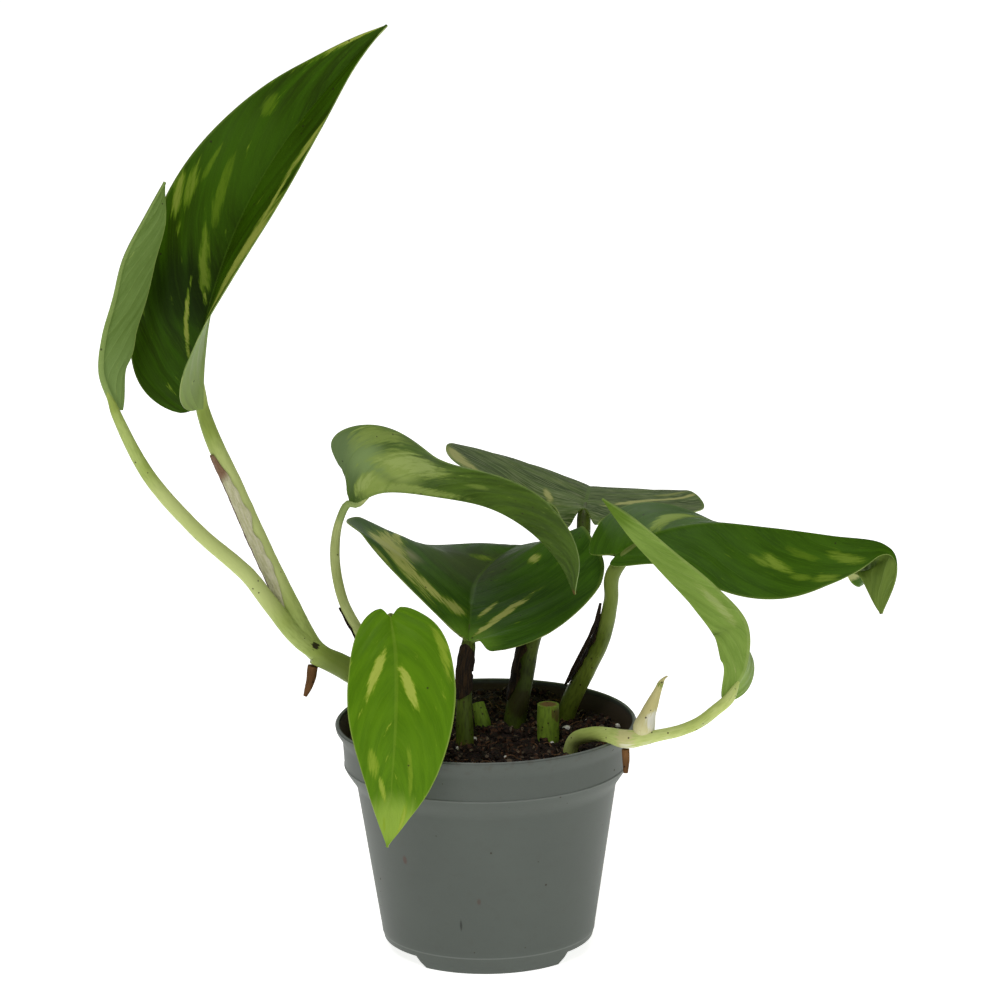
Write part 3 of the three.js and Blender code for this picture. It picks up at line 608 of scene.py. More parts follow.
class Leaf:
    """One leaf of the table: the form of its blade, and the looks of its two sides."""

    def __init__(self, slot, seed, fullness, lobe, lean, wave, rows, shoulder=0.2, roundness=0.6, waves=4,
                 rib=1.1, bends=(), streaks=(), spots=None, washes=None, upper=None, under=None):
        self.slot, self.seed = slot, seed
        self.fullness, self.shoulder, self.lobe, self.lean = fullness, shoulder, lobe, lean
        self.wave, self.waves, self.roundness, self.rib = wave, waves, roundness, rib
        self.at, self.face, self.left, self.right = (np.array(part, float) for part in zip(*rows))
        self.half_width = float(max(self.left[:, 0].max(), self.right[:, 0].max()))
        self.bends, self.streaks = bends, streaks
        self.spots, self.washes = spots or {}, washes or {}
        self.looks = {"upper": {**UPPER, **(upper or {})}, "under": {**UNDER, **(under or {})}}

    def outline(self, s):
        """Half width along the leaf, as a share: a rounded base and a drawn-out tip."""
        rounded = (1 - np.clip(1 - s / WIDEST, 0, 1) ** 2.3) ** self.roundness
        base = 1 - (1 - self.shoulder) * (1 - rounded)
        tip = 1 - np.clip((s - WIDEST) / (1 - WIDEST), 0, 1) ** self.fullness
        return np.where(s < WIDEST, base, tip)

    def midrib(self, u):
        """Origin, direction along, and the side that the upper face looks to."""
        near = np.minimum(u, 0.99)
        along = unit(smooth(self.at, near + 0.01) - smooth(self.at, near - 0.01))
        up = across_of(smooth(self.face, np.maximum(u, 0)), along)
        return smooth(self.at, u), along, up

    def points(self, s, t):
        """Points of the blade's middle surface, and each one's distance from the midrib."""
        reach, right = np.abs(t), t >= 0
        lean = np.where(right, self.lean[1], self.lean[0])
        lobe = np.where(right, self.lobe[1], self.lobe[0])
        u = (s + lean * 4 * s * (1 - s) * reach ** 1.4
             - lobe * (1 - s) ** 3 * np.sin(0.5 * math.pi * reach) ** 1.4)
        inside = np.maximum(u, 0)

        def value(index, at):
            return np.where(right, smooth(self.right[:, index], at), smooth(self.left[:, index], at))

        full = np.maximum(value(0, s), 1)
        distance = reach * np.maximum(full * self.outline(s), 0.4)
        lift = np.radians(value(1, inside))
        bend = (np.radians(value(2, inside)) + 1e-4) / full
        origin, along, up = self.midrib(u)
        side = np.cross(along, up)
        out = (np.sin(lift + bend * distance) - np.sin(lift)) / bend
        rise = (np.cos(lift) - np.cos(lift + bend * distance)) / bend
        ripple = self.wave * reach ** 2 * np.sin(self.waves * math.pi * s + np.where(right, 0, 1))
        place = origin + side * (np.sign(t) * out)[..., None] + up * (rise + ripple)[..., None]
        for (at_s, at_t), (spread_s, spread_t), shift in self.bends:
            weight = np.exp(-((s - at_s) / spread_s) ** 2 - ((t - at_t) / spread_t) ** 2)
            place = place + weight[..., None] * np.array(shift, float)
        return place, distance

    def normals(self, s, t):
        """The side that the upper face looks to, at each point."""
        step = 0.004
        along = self.points(np.minimum(s + step, 1), t)[0] - self.points(np.maximum(s - step, 0), t)[0]
        across = self.points(s, np.minimum(t + step, 1))[0] - self.points(s, np.maximum(t - step, -1))[0]
        return unit(np.cross(across, along))

    def relief(self, s, t, distance):
        """How far the upper and the lower face stand off the middle surface."""
        reach = np.abs(t)
        thin = 0.5 * BLADE * (1 - 0.45 * reach ** 3)
        rib = (self.rib * (1 - s) ** 1.6 + 0.2) * np.exp(-(distance / (1.7 - 1.1 * s)) ** 2)
        vein = s - VEIN_SWEEP * reach ** VEIN_BEND
        phase = VEINS * vein + np.where(t > 0, 0.5, 0)
        crest = np.exp(-((phase - np.round(phase)) / 0.11) ** 2) * np.clip(1 - reach, 0, 1) ** 0.6
        crest = crest * np.clip(distance / 3, 0, 1)
        quilt = 0.13 * np.cos(2 * math.pi * phase) * reach * (1 - reach) * 4 * np.clip(distance / 12, 0, 1)
        groove = 0.28 * np.exp(-(distance / 1.1) ** 2) * (1 - 0.6 * s)
        upper = thin - groove - 0.06 * crest - quilt
        lower = thin + rib + 0.14 * crest + quilt
        return upper, lower


def leaf_piece(node, leaf):
    """The upper and lower faces are two grids bent over the same blade and bridged round the margin."""
    bm = bmesh.new()
    map_layer = bm.loops.layers.uv.new("leaf")
    (top, t, v), (bottom, _, _) = (flat_grid(bm, BLADE_COLUMNS, BLADE_ROWS) for _ in range(2))
    s = v ** ROWS_TO_BASE
    middle, distance = leaf.points(s, t)
    normal = leaf.normals(s, t)
    upper, lower = leaf.relief(s, t, distance)
    move_to(top, middle + normal * upper[:, None])
    move_to(bottom, middle - normal * lower[:, None])
    under = set(bottom)
    lower_faces = [face for face in bm.faces if face.verts[0] in under]
    bmesh.ops.reverse_faces(bm, faces=lower_faces)
    for face in lower_faces:
        face.material_index = 1
    margin = [edge for edge in bm.edges if edge.is_boundary]
    for face in bmesh.ops.bridge_loops(bm, edges=margin)["faces"]:
        face.material_index = 2
    lay_map(bm.faces, map_layer, {vert: (a, (b + 1) / 2) for verts in (top, bottom)
                                  for vert, a, b in zip(verts, s, t)})
    name = node + "_blade"
    edges = [leaf.looks[side]["edge"] for side in ("upper", "under")]
    materials = [leaf_material(name + "_upper", leaf, "upper"), leaf_material(name + "_under", leaf, "under"),
                 rim_material(name + "_rim", *edges)]
    dress(object_of(name, bm, materials, sharp_from=60), leaf.slot, node)


# ---- Stems ------------------------------------------------------------------------------------

class Route:
    """A centripetal spline through [x, y, z, radius] points, walked in equal steps of length."""

    STEPS = 60                          # between one point and the next

    def __init__(self, points):
        self.radii = [point[3] for point in points]
        p = np.array([point[:3] for point in points], float)
        p = np.concatenate([2 * p[:1] - p[1:2], p, 2 * p[-1:] - p[-2:-1]])
        w = (np.arange(self.STEPS) / self.STEPS)[:, None]
        places = []
        for k in range(len(points) - 1):
            x = p[k:k + 4]
            gap = [max(np.linalg.norm(x[i + 1] - x[i]) ** 0.5, 1e-4) for i in range(3)]
            steps = [(x[i + 1] - x[i]) / gap[i] for i in range(3)]
            first = (steps[0] - (x[2] - x[0]) / (gap[0] + gap[1]) + steps[1]) * gap[1]
            second = (steps[1] - (x[3] - x[1]) / (gap[1] + gap[2]) + steps[2]) * gap[1]
            places.append(x[1] + first * w + (3 * (x[2] - x[1]) - 2 * first - second) * w ** 2
                          + (2 * (x[1] - x[2]) + first + second) * w ** 3)
        self.places = np.concatenate(places + [p[-2:-1]])
        steps_long = np.linalg.norm(np.diff(self.places, axis=0), axis=1)
        self.lengths = np.concatenate([[0], np.cumsum(steps_long)])
        self.length = self.lengths[-1]

    def point(self, u):
        at = u * self.length
        return np.stack([np.interp(at, self.lengths, self.places[:, k]) for k in range(3)], -1)

    def radius(self, u):
        share = np.interp(u * self.length, self.lengths, np.linspace(0, 1, len(self.places)))
        return np.maximum(smooth(self.radii, share), 0.3)

    def frame(self, u):
        """The directions of 0 degrees (the plant's front) and of 90 degrees round the stem."""
        tangent = unit(self.point(np.minimum(u + 0.004, 1)) - self.point(np.maximum(u - 0.004, 0)))
        front = across_of(np.broadcast_to((0.0, -1.0, 0.0), tangent.shape), tangent)
        return front, np.cross(tangent, front)

    def around(self, u, angle, radius):
        front, right = self.frame(u)
        return (self.point(u) + front * (np.cos(angle) * radius)[..., None]
                + right * (np.sin(angle) * radius)[..., None])

    def map_of(self, verts, u, angle):
        """Each vertex's place on the map: along the stem and round it."""
        along, around = u * self.length / MAP_LENGTH, angle / (2 * math.pi)
        return {vert: (a, b) for vert, a, b in zip(verts, along, around)}


def roughness_of(place, scale, seed=0.0):
    """Smooth noise from -1 to 1 at each place, in millimetres."""
    return np.array([noise.noise(Vector(point) * scale + Vector((seed, 0, 0))) for point in place])


def add_tube(bm, points, rings=60, sides=28, uneven=0.03):
    """A stem with closed, slightly rounded ends: two more rings at each end close it."""
    route = Route(points)
    map_layer = bm.loops.layers.uv.verify()
    last = rings + 4
    verts, across, v = flat_grid(bm, sides, last)
    row = np.rint(v * last)
    u = np.clip((row - 2) / rings, 0, 1)
    angle = (across + 1) * math.pi
    narrow = np.ones(len(verts))
    narrow[(row == 0) | (row == last)] = 0
    narrow[(row == 1) | (row == last - 1)] = 0.86
    radius = route.radius(u)
    dents = roughness_of(route.around(u, angle, radius), 0.25)
    move_to(verts, route.around(u, angle, radius * (1 + uneven * dents) * narrow))
    faces = {face for vert in verts for face in vert.link_faces}
    lay_map(faces, map_layer, route.map_of(verts, u, angle))
    bmesh.ops.remove_doubles(bm, verts=verts, dist=DOUBLES)


def stem_piece(name, slot, node, routes, material, **shape):
    """One or more tubes as one piece."""
    bm = bmesh.new()
    bm.loops.layers.uv.new("stem")
    for points in routes:
        add_tube(bm, points, **shape)
    bmesh.ops.recalc_face_normals(bm, faces=bm.faces[:])
    dress(object_of(name, bm, [material], sharp_from=50), slot, node)


# ---- The eight leaves -------------------------------------------------------------------------

LEAVES = {
    "leaf_tall": Leaf(
        slot="leaf", seed=1.0, fullness=2.0, lobe=(0.02, 0.0), lean=(0.08, 0.08), wave=0.8, waves=5,
        rows=[
            ((-110.5, 0, 222), (-0.2, -1, 0.1), (37, 8, 10), (24, 110, 20)),
            ((-108.7, -2, 243.4), (-0.2, -1, 0.1), (33, 2, -10), (24, 90, 10)),
            ((-104.6, -2, 265.8), (-0.1, -1, 0.1), (32, 0, -15), (28, 81, 0)),
            ((-93.1, 2, 296.3), (0, -1, 0.15), (31.5, 0, -15), (28, 70, 0)),
            ((-76.4, 8, 324.3), (0, -1, 0.2), (28, 0, -15), (22, 60, 0)),
            ((-55.4, 15, 349.2), (0, -1, 0.2), (23, 5, -10), (11, 55, 0)),
            ((-34.8, 20, 369.8), (0, -1, 0.2), (24, 10, 0), (2, 50, 0))],
        streaks=[
            ((0.1, 0.84), (0.26, 0.78), 0.045, 0.95), ((0.28, 0.78), (0.33, 0.86), 0.05, 0.8),
            ((0.36, 0.86), (0.43, 0.92), 0.03, 0.8), ((0.19, -0.97), (0.22, -0.8), 0.014, 0.6),
            ((0.254, -0.88), (0.285, -0.7), 0.016, 0.5), ((0.346, -0.78), (0.337, -0.7), 0.015, 0.4),
            ((0.435, -0.54), (0.42, -0.3), 0.02, 0.4), ((0.36, -0.36), (0.34, -0.1), 0.02, 0.5),
            ((0.25, -0.3), (0.15, -0.19), 0.028, 0.8), ((0.476, -0.8), (0.54, -0.6), 0.014, 0.35),
            ((0.56, -0.97), (0.84, -0.94), 0.022, 0.8)],
        washes={"upper": [((-116, 0, 268), 22, "152403", 0.75), ((-88, 8, 320), 28, "40640d", 0.6)],
                "under": [((-110, -8, 232), 30, "86985a", 0.7)]}),
    "leaf_left_narrow": Leaf(
        slot="leaf_pale", seed=2.0, fullness=2.0, lobe=(0.02, 0.02), lean=(0.07, 0.07), wave=0.4, roundness=1,
        rows=[
            ((-142.8, -15, 225.5), (0, 1, 0), (15, 35, 20), (12, 110, 0)),
            ((-147.8, -17, 240), (0, 1, 0), (16.5, 38, 10), (16, 110, 0)),
            ((-146.4, -18, 254.8), (0, 1, 0), (15.5, 40, 0), (17, 108, 0)),
            ((-142, -18, 269.9), (0, 1, 0), (17, 38, 0), (18, 105, 0)),
            ((-137.4, -18, 286.5), (0, 1, 0), (19, 34, 0), (18, 100, 0)),
            ((-128.4, -16, 303), (0, 1, 0), (20, 36, 0), (18, 95, 0)),
            ((-121.1, -14, 315.5), (0, 1, 0), (16, 45, 0), (14, 90, 0))],
        streaks=[((0.2, 0.5), (0.45, 0.6), 0.05, 0.4)],
        under={"dark": "637d38", "light": "6f8944", "grain": "7b944e"},
        washes={"under": [((-142, -10, 228.1), 30, "809a56", 0.7)]}),
    "leaf_arching": Leaf(
        slot="leaf_pale", seed=3.0, fullness=2.4, shoulder=0.45, lobe=(0.0, -0.02), lean=(0.05, 0.05),
        wave=0.6, rib=0.35,
        rows=[
            ((-52.1, -8, 183.9), (0, 0, 1), (20, 30, 0), (39, 84, 0)),
            ((-38.2, -12, 190.5), (0, 0, 1), (25, 26, -10), (31, 71, -5)),
            ((-16.7, -16, 189.2), (0, 0, 1), (26, 20, -20), (29, 51, -15)),
            ((2.9, -20, 185.5), (0, 0, 1), (26, 14, -20), (29, 49, -10)),
            ((18.4, -24, 177), (0.4, 0, 1), (25, 14, -20), (27, 46, 0)),
            ((29.9, -28, 165), (0.8, 0, 0.6), (24, 14, -10), (25, 46, 0)),
            ((35.8, -30, 152.4), (1, 0, 0.4), (22, 14, 0), (18, 44, 0))],
        bends=[((0, 0.8), (0.1, 0.5), (3.2, 0, 0)), ((0.22, 1), (0.14, 0.4), (0, 0, 1.8))],
        streaks=[
            ((0.04, 0.62), (0.2, 0.46), 0.05, 0.6), ((0.03, 0.2), (0.1, 0.2), 0.03, 0.6),
            ((0.1, 0.06), (0.36, 0.07), 0.02, 0.5), ((0.3, 0.5), (0.36, 0.44), 0.015, 0.3),
            ((-0.12, 0.9), (-0.02, 0.8), 0.03, 0.4)],
        upper={"dark": "2f4a12", "light": "42651a"},
        # The underside's dark base is partly its own darker green and partly painted shade, where it faces
        # down.
        under={"dark": "374c14", "light": "4a631d", "grain": "506a22", "vein": "566f26", "rib": "5d7530",
               "streak": "7d9040", "cream": "a2b06a", "edge": "5d7236"},
        # The first underside wash, grey-green near the base, is painted sheen; the others are paler patches.
        washes={"under": [((-54, -10, 207), 22, "5b6f42", 0.95), ((-43, -12, 205), 13, "748a50", 0.9),
                          ((-30, -15, 203), 13, "93a555", 0.9), ((-42, -12, 192), 9, "8ea04e", 0.8)]},
        spots={"under": [((35.6, -30, 150), 5, "5d4a22")], "upper": [((35.6, -30, 150), 5, "54431f")]}),
    "leaf_centre": Leaf(
        slot="leaf", seed=4.0, fullness=2.2, lobe=(0.01, 0.06), lean=(0.05, 0.05), wave=1.0, waves=5,
        rows=[
            ((-6.6, 4, 124.4), (0, -0.5, 0.85), (42, 46, 0), (52, 2, 20)),
            ((-5.5, 22, 134), (0, -0.5, 0.85), (59, 38, 0), (56, 6, 20)),
            ((-3.1, 40, 139), (0, -0.3, 0.92), (54.5, 23, 0), (54, 18, 10)),
            ((4.5, 62, 141.7), (0, -0.1, 1), (48, 6, 0), (45, 26, 0)),
            ((13, 84, 141.4), (0, 0, 1), (38, -2, 0), (36, 14, 0)),
            ((18.8, 104, 136.7), (0, 0.1, 1), (32, -4, 0), (30, 8, 0))],
        bends=[((0, 0.45), (0.12, 0.22), (0, 0, 2.6))],
        streaks=[
            ((0.165, -0.71), (0.058, -0.51), 0.03, 1), ((0.035, -0.56), (0.055, -0.32), 0.022, 0.8),
            ((0.055, -0.32), (0.125, -0.07), 0.022, 0.7), ((-0.15, -1), (-0.1, -0.9), 0.02, 0.6),
            ((0.545, -0.26), (0.59, -0.05), 0.018, 0.5), ((0.36, 0.44), (0.34, 0.54), 0.02, 0.7),
            ((0.03, 0.13), (0.112, 0.39), 0.02, 1), ((0.118, 0.08), (0.165, 0.18), 0.014, 0.8),
            ((0.2, -0.66), (-0.05, -0.68), 0.035, 0.9), ((0.14, -0.6), (0.3, -0.78), 0.03, 0.7)],
        upper={"dark": "2f500a", "light": "3e6410", "grain": "476a1a", "relief": 0.9, "grain_and_sheen_share": 0.5,
               "cream": "b7bb64"},
        # The second upper wash, grey-green over the middle of the blade, is painted sheen.
        washes={"upper": [((-6, 0, 126), 15, "668c28", 0.8), ((-6, 55, 142), 30, "4a5238", 0.7),
                          ((-34, 30, 153), 12, "a3a078", 0.75)]}),
    "leaf_back": Leaf(
        slot="leaf", seed=5.0, fullness=2.2, shoulder=0.25, lobe=(0.16, 0.16), lean=(0.06, 0.06), wave=1.0,
        waves=5,
        rows=[
            ((40.9, 75, 159.9), (0, 0, 1), (64, 23, -12), (46, -2, -8)),
            ((43, 100, 159.4), (0, 0, 1), (62, 25, -10), (48, -3, -5)),
            ((44.2, 125, 156), (0, 0.1, 1), (56, 23, -14), (45, -5, 0)),
            ((45.4, 150, 147.2), (0, 0.2, 1), (48, 16, -8), (42, 0, 0)),
            ((46.4, 165, 139.9), (0, 0.3, 1), (42, 6, 0), (38, 0, 0))],
        bends=[((0, -0.42), (0.14, 0.22), (0, -3, -8)), ((0, 0.42), (0.12, 0.22), (0, -2, -4))],
        streaks=[
            ((0.085, 0.32), (0.17, 0.93), 0.013, 1), ((0.2, 0.6), (0.23, 0.9), 0.012, 0.5),
            ((0.05, -0.33), (0.056, -0.28), 0.02, 0.8), ((-0.03, -0.96), (-0.15, -0.92), 0.02, 0.9)],
        # The pale grey grain over the upper side is painted sheen along the veins.
        upper={"dark": "324814", "light": "546a2e", "grain": "8e9868", "grain_and_sheen_share": 0.55, "specular": 0.05,
               "roughness": 0.5, "relief": 1, "streak": "788440", "cream": "a8aa66"},
        washes={"upper": [((28, 58, 164), 15, "42581f", 0.85)]}),
    "leaf_far_right": Leaf(
        slot="leaf", seed=6.0, fullness=2.6, shoulder=0.25, lobe=(0.07, 0.03), lean=(0.11, 0.06), wave=0.8,
        waves=5,
        rows=[
            ((52.5, 5.5, 158.7), (-0.2, 0, 1), (31, 26, 0), (12, -38, 0)),
            ((69, 7, 167), (-0.1, 0, 1), (36, 8, 0), (19, -48, 0)),
            ((90, 6.5, 170.8), (0, 0, 1), (34, -12, 0), (28, -52, 0)),
            ((113, 5, 169), (0, 0, 1), (34, -30, 0), (30, -52, 0)),
            ((138, 4, 165.5), (0.1, 0, 1), (28, -40, 0), (18, -52, 0)),
            ((157.8, 3, 162.5), (0.6, 0, 1), (29, -60, 0), (4, -40, 0)),
            ((163.4, 1, 153.6), (1, 0, 0.3), (30, -80, 0), (2, -20, 0)),
            ((157.5, -1, 134.8), (1, 0, -0.4), (30, -80, 0), (2, 0, 0))],
        bends=[((0.84, -0.9), (0.1, 0.5), (0, 0, -5))],
        streaks=[
            ((0.301, 0.42), (0.294, 0.56), 0.012, 0.6), ((0.337, 0.4), (0.297, 0.64), 0.013, 0.7),
            ((0.29, 0.7), (0.28, 0.8), 0.012, 0.5), ((0.304, 0.8), (0.283, 0.95), 0.014, 0.6),
            ((0.479, 0.4), (0.396, 0.84), 0.016, 0.6), ((0.13, -0.12), (0.07, -0.65), 0.02, 0.9),
            ((0.42, 0.3), (0.4, 0.5), 0.012, 0.4)],
        upper={"dark": "345506", "light": "40640b", "grain": "48700f", "cream": "8ea53a", "streaks": 0.75},
        under={"dark": "5a6f2a", "light": "6d8236", "grain": "748a3c"},
        spots={"under": [((158, -1, 131), 5, "5f4a2a"), ((144.4, 6.8, 149.9), 5, "b4b184")],
               "upper": [((158, -1, 131), 5, "5d4326"), ((144.4, 6.8, 149.9), 6, "a3a86c")]}),
    "leaf_drooping": Leaf(
        slot="leaf_pale", seed=7.0, fullness=3, lobe=(0.02, 0.02), lean=(0.04, 0.04), wave=0.15, rib=0.35,
        rows=[
            ((94.2, -42, 113.7), (-0.7, 0.7, 0), (11, 0, 0), (5, 30, 0)),
            ((101.6, -40, 125.2), (-0.7, 0.7, 0.2), (17, 26, 0), (11.2, 35, 0)),
            ((102, -38, 142), (-0.7, 0.7, 0), (13, 82, 0), (13.6, 40, 0)),
            ((90, -34, 155.8), (-0.6, 0.7, -0.4), (12, 85, 0), (11.5, 40, 0)),
            ((74, -28, 168.5), (-0.4, 0.7, -0.5), (11, 72, 0), (10, 40, 0)),
            ((61, -24, 179), (-0.4, 0.7, -0.5), (10, 55, 0), (11, 40, 0)),
            ((46.7, -20, 188.1), (-0.4, 0.7, -0.5), (10, 40, 0), (10, 40, 0))],
        # The streak is a painted highlight along the middle of the leaf.
        streaks=[((0.3, 0.36), (0.45, 0.31), 0.03, 0.6)],
        upper={"dark": "3c5e10", "light": "4a7016"},
        under={"dark": "6f8c36", "light": "809c44", "grain": "88a24c"},
        washes={"under": [((52, -22, 184), 12, "5c7c1c", 0.8)]}),
    "leaf_front": Leaf(
        slot="leaf_fresh", seed=8.0, fullness=1.35, lobe=(0.04, 0.045), lean=(0.04, 0.04), wave=0.4,
        rows=[
            ((-36.3, -45, 148.2), (0, -1, 0.3), (22, 12, -20), (19, 12, -20)),
            ((-34.4, -53, 133.2), (0, -1, 0.3), (22.5, 12, -20), (18.5, 12, -20)),
            ((-34.8, -60, 111), (0, -1, 0.1), (24, 12, -15), (19.5, 12, -15)),
            ((-36.6, -63, 87.6), (0, -1, 0), (22, 12, -10), (14.5, 12, -10)),
            ((-37.8, -63, 71.4), (0, -1, 0), (16.5, 12, 0), (12, 12, 0)),
            ((-39, -62, 60.1), (0, -1, 0), (14, 10, 0), (10, 10, 0))],
        streaks=[
            ((0.14, 0.27), (0.168, 0.57), 0.027, 1), ((0.24, -0.09), (0.265, -0.34), 0.024, 1),
            ((-0.12, -0.9), (0.01, -0.86), 0.02, 0.45), ((0.34, 0.74), (0.42, 0.5), 0.03, 0.45),
            ((0.5, 0.5), (0.6, 0.3), 0.03, 0.6), ((0.58, -0.6), (0.6, -0.95), 0.03, 0.6),
            ((0.44, -0.3), (0.5, -0.6), 0.02, 0.3), ((0.68, 0.7), (0.72, 0.4), 0.03, 0.4)],
        upper={"dark": "4f770a", "light": "5b8410", "grain": "6c9016", "grain_and_sheen_share": 0.15,
               "streak": "86a02a", "cream": "abb84e", "vein": "6f9220", "rib": "7e9a2e", "edge": "9cae56"},
        washes={"upper": [((-36.5, -64, 70), 15, "94b044", 0.8)]}),
}


# ---- Routes of the stems ----------------------------------------------------------------------
# Points of (x, y, z, radius), from inside the soil or a node to the free end.

ROUTES = {
    "left_stem": [(-38, 16, 60, 4), (-41, 13, 84, 4.4), (-44, 8, 103, 4.8), (-54.4, 0, 114.5, 4.8),
                  (-67.5, -1, 121.5, 4.2)],
    "tall_petiole": [(-60, 0, 118, 3.6), (-67.3, 0, 122.7, 4.2), (-77.8, 0, 143.3, 3.9),
                     (-88.7, 0, 168.1, 3.7), (-98.6, 0, 192.6, 3.4), (-105.6, 0, 209, 3.2)],
    "narrow_petiole": [(-60, -1, 118, 3.6), (-73.1, -3, 128, 3.6), (-85.5, -6, 145.1, 3.4),
                       (-93, -8, 156, 3.2), (-112.6, -11, 175.4, 2.9), (-131, -13, 198.7, 2.7)],
    "arching_petiole": [(-30, 0, 60, 2.3), (-35, -8, 90, 2.3), (-42.6, -16, 114.6, 2.2),
                        (-48.6, -17, 133, 2.1), (-55.1, -14, 145.7, 2), (-58.1, -10, 158.1, 2),
                        (-58.3, -8.5, 167.9, 1.9), (-56.6, -8, 177.1, 1.6)],
    "front_petiole": [(-26, -14, 62, 2.2), (-29, -24, 92, 2.2), (-32, -35, 122, 2.1), (-36, -42, 140, 2)],
    "centre_stem": [(-8.5, -10, 60, 3.6), (-8.4, -8, 89, 3.6), (-8.5, -4, 102, 3.2), (-8.2, -1, 113, 3.1)],
    "back_stem": [(8, 10, 60, 4.4), (11, 14, 85, 4.4), (14.8, 18, 104, 4.4), (19, 24, 121, 4),
                  (31, 44, 136, 3.4), (39.5, 62, 147, 3)],
    "right_stem": [(29, 26, 60, 3.8), (32, 25, 86.7, 3.8), (40.6, 20, 107.5, 3.7), (46.7, 16, 121.2, 3.4),
                   (50.4, 10.5, 138.8, 2.9), (50.8, 7.5, 149, 3)],
    "runner": [(32, -14, 62, 2.9), (32.4, -17, 78, 2.9), (34.8, -21, 89.9, 2.9), (41, -28, 94.5, 3),
               (47.6, -35, 96.5, 3), (54.9, -41, 96.4, 3.7), (61.5, -43, 97.4, 3), (67.4, -43.5, 98.5, 2.4),
               (75.9, -44, 100.5, 2.3), (83.8, -44, 103.9, 2.3), (89.7, -43.5, 108.3, 2.3)],
    "root_left": [(-68.2, -1, 116.4, 2.1), (-69.4, -1, 110, 1.8), (-71.6, -1, 104, 0.8)],
    "root_runner": [(54.7, -42, 92.5, 1.5), (54.8, -42, 88, 1.4), (54.6, -42, 83, 1)],
    "shoot": [(60.7, -42, 97.5, 3.2), (62, -41.5, 101.4, 4.3), (63.6, -41, 106.5, 3.1),
              (65.7, -41, 111.8, 2.3), (67.5, -41, 116.2, 1.5), (68.7, -41, 119.1, 1.2),
              (69.8, -41, 120.8, 0.6), (71.3, -41, 121.9, 0.3)],
    "fibre": [(46.2, 10, 137.5, 0.7), (44.4, 11.5, 130, 0.7), (41, 14, 121, 0.7), (36.2, 16.6, 111, 0.7),
              (32, 18.8, 101.4, 0.6)],
    "stump": [(24.6, -5, 66, 4.2), (24.7, -5, 84, 4.4), (24.8, -5, 100.5, 4.3)],
    "centre_stub": [(0, 8, 68, 2.8), (-1, 13, 86, 3.2), (-3, 17, 95, 2.4)],
    "right_stub": [(23.6, 11, 66, 2.6), (24, 12, 84, 2.8), (24, 13, 93, 2.4)],
}
# The leaf at the end of a route, the radius there, and how much closer the route comes than its solid.
CARRIED = {
    "tall_petiole": ("leaf_tall", 2.6, 0),
    "narrow_petiole": ("leaf_left_narrow", 2, 0),
    "arching_petiole": ("leaf_arching", 1.5, 3),
    "front_petiole": ("leaf_front", 1.8, 0),
    "centre_stem": ("leaf_centre", 3, 0.8),
    "back_stem": ("leaf_back", 2.8, 0.1),
    "right_stem": ("leaf_far_right", 2.8, 0.7),
    "runner": ("leaf_drooping", 2.2, 1.2),
}


def into_leaf(route, leaf, radius, closer):
    """Carries a petiole up to its leaf's base and on into the midrib."""
    origin, along, up = leaf.midrib(np.array([0.0, 0.03, 0.09]))
    droop = math.radians(max(0, -leaf.left[0, 1], -leaf.right[0, 1]))
    drop = (radius + 0.5 * BLADE + CLEARANCE) / math.cos(droop) - closer
    return route + [(*(origin[0] - up[0] * drop - along[0] * 0.5), radius),
                    (*(origin[1] - up[1] * radius * 0.75), radius * 0.8),
                    (*(origin[2] - up[2] * 0.5), radius * 0.3)]


# ---- Pot --------------------------------------------------------------------------------------

# Radius and height of each point: the spot in the base, the foot ring, the tapered wall with its shoulder,
# the lip line, the collar and the rolled rim, then down the inside to the floor.
POT_PROFILE = [
    (0, 0), (7, 0), (9, 5.1), (39.2, 5.1),
    (39.2, 0), (40.2, 0), (41.3, 2.5), (42.3, 6.6), (42.5, 7), (42.8, 9.5),
    (51.6, 67), (52.4, 69), (54, 71.3), (55.9, 74.2), (56.4, 75.3),
    (56.65, 75.7), (56.65, 76.1), (56.45, 76.5),
    (57, 85), (57.4, 87), (59.6, 90.5), (59.9, 92.2), (59.2, 93), (58.4, 92.6),
    (58.4, 91), (56, 86.5), (55.2, 75.8), (54.5, 73.8), (51.5, 69.8), (50.2, 67.2), (41.2, 6.6), (0, 6.6)]
# Dirt and scratches: centre, radius, squash (below 1 a mark is drawn out upwards) and colour.
POT_MARKS = [
    ((-10.7, -43.3, 21.6), 0.7, 0.16, "2f302c"), ((17.0, -49.4, 71.3), 1.6, 1.6, "3a3a35"),
    ((9.5, -51.2, 70.4), 1.0, 1.2, "3a3a35"), ((-32.5, -35.9, 46.4), 1.5, 0.6, "5b4540"),
    ((-3.5, -46.1, 31.9), 1.1, 0.6, "574a45")]
FOOT_GAPS = [(2.6, 17), (112.8, 26.8), (252.4, 26.8)]       # where each gap is, and its half angle
GAP_RADIUS, GAP_REACH, GAP_TAPER = 40, 8, 4
GAP_LOW, GAP_HIGH = -1, 4.6
DRAIN_HOLES, DRAIN_PLACE, DRAIN_RADIUS, DRAIN_HEIGHT, DRAIN_DEPTH = 6, 27, 4, 5.6, 10
EDGE_WIDTH, EDGE_FROM = 0.35, 28        # how wide an edge is softened, and from which angle on
POT_STEPS = 160


def lathe(bm, profile, steps):
    """Spins a profile of (radius, height) once round the pot's axis and closes its poles."""
    verts = [bm.verts.new((r * MM, 0, z * MM)) for r, z in profile]
    edges = [bm.edges.new(pair) for pair in zip(verts, verts[1:])]
    bmesh.ops.spin(bm, geom=verts + edges, cent=(0, 0, 0), axis=(0, 0, 1), angle=2 * math.pi, steps=steps,
                   use_merge=True)
    bmesh.ops.remove_doubles(bm, verts=bm.verts[:], dist=DOUBLES)
    bmesh.ops.recalc_face_normals(bm, faces=bm.faces[:])


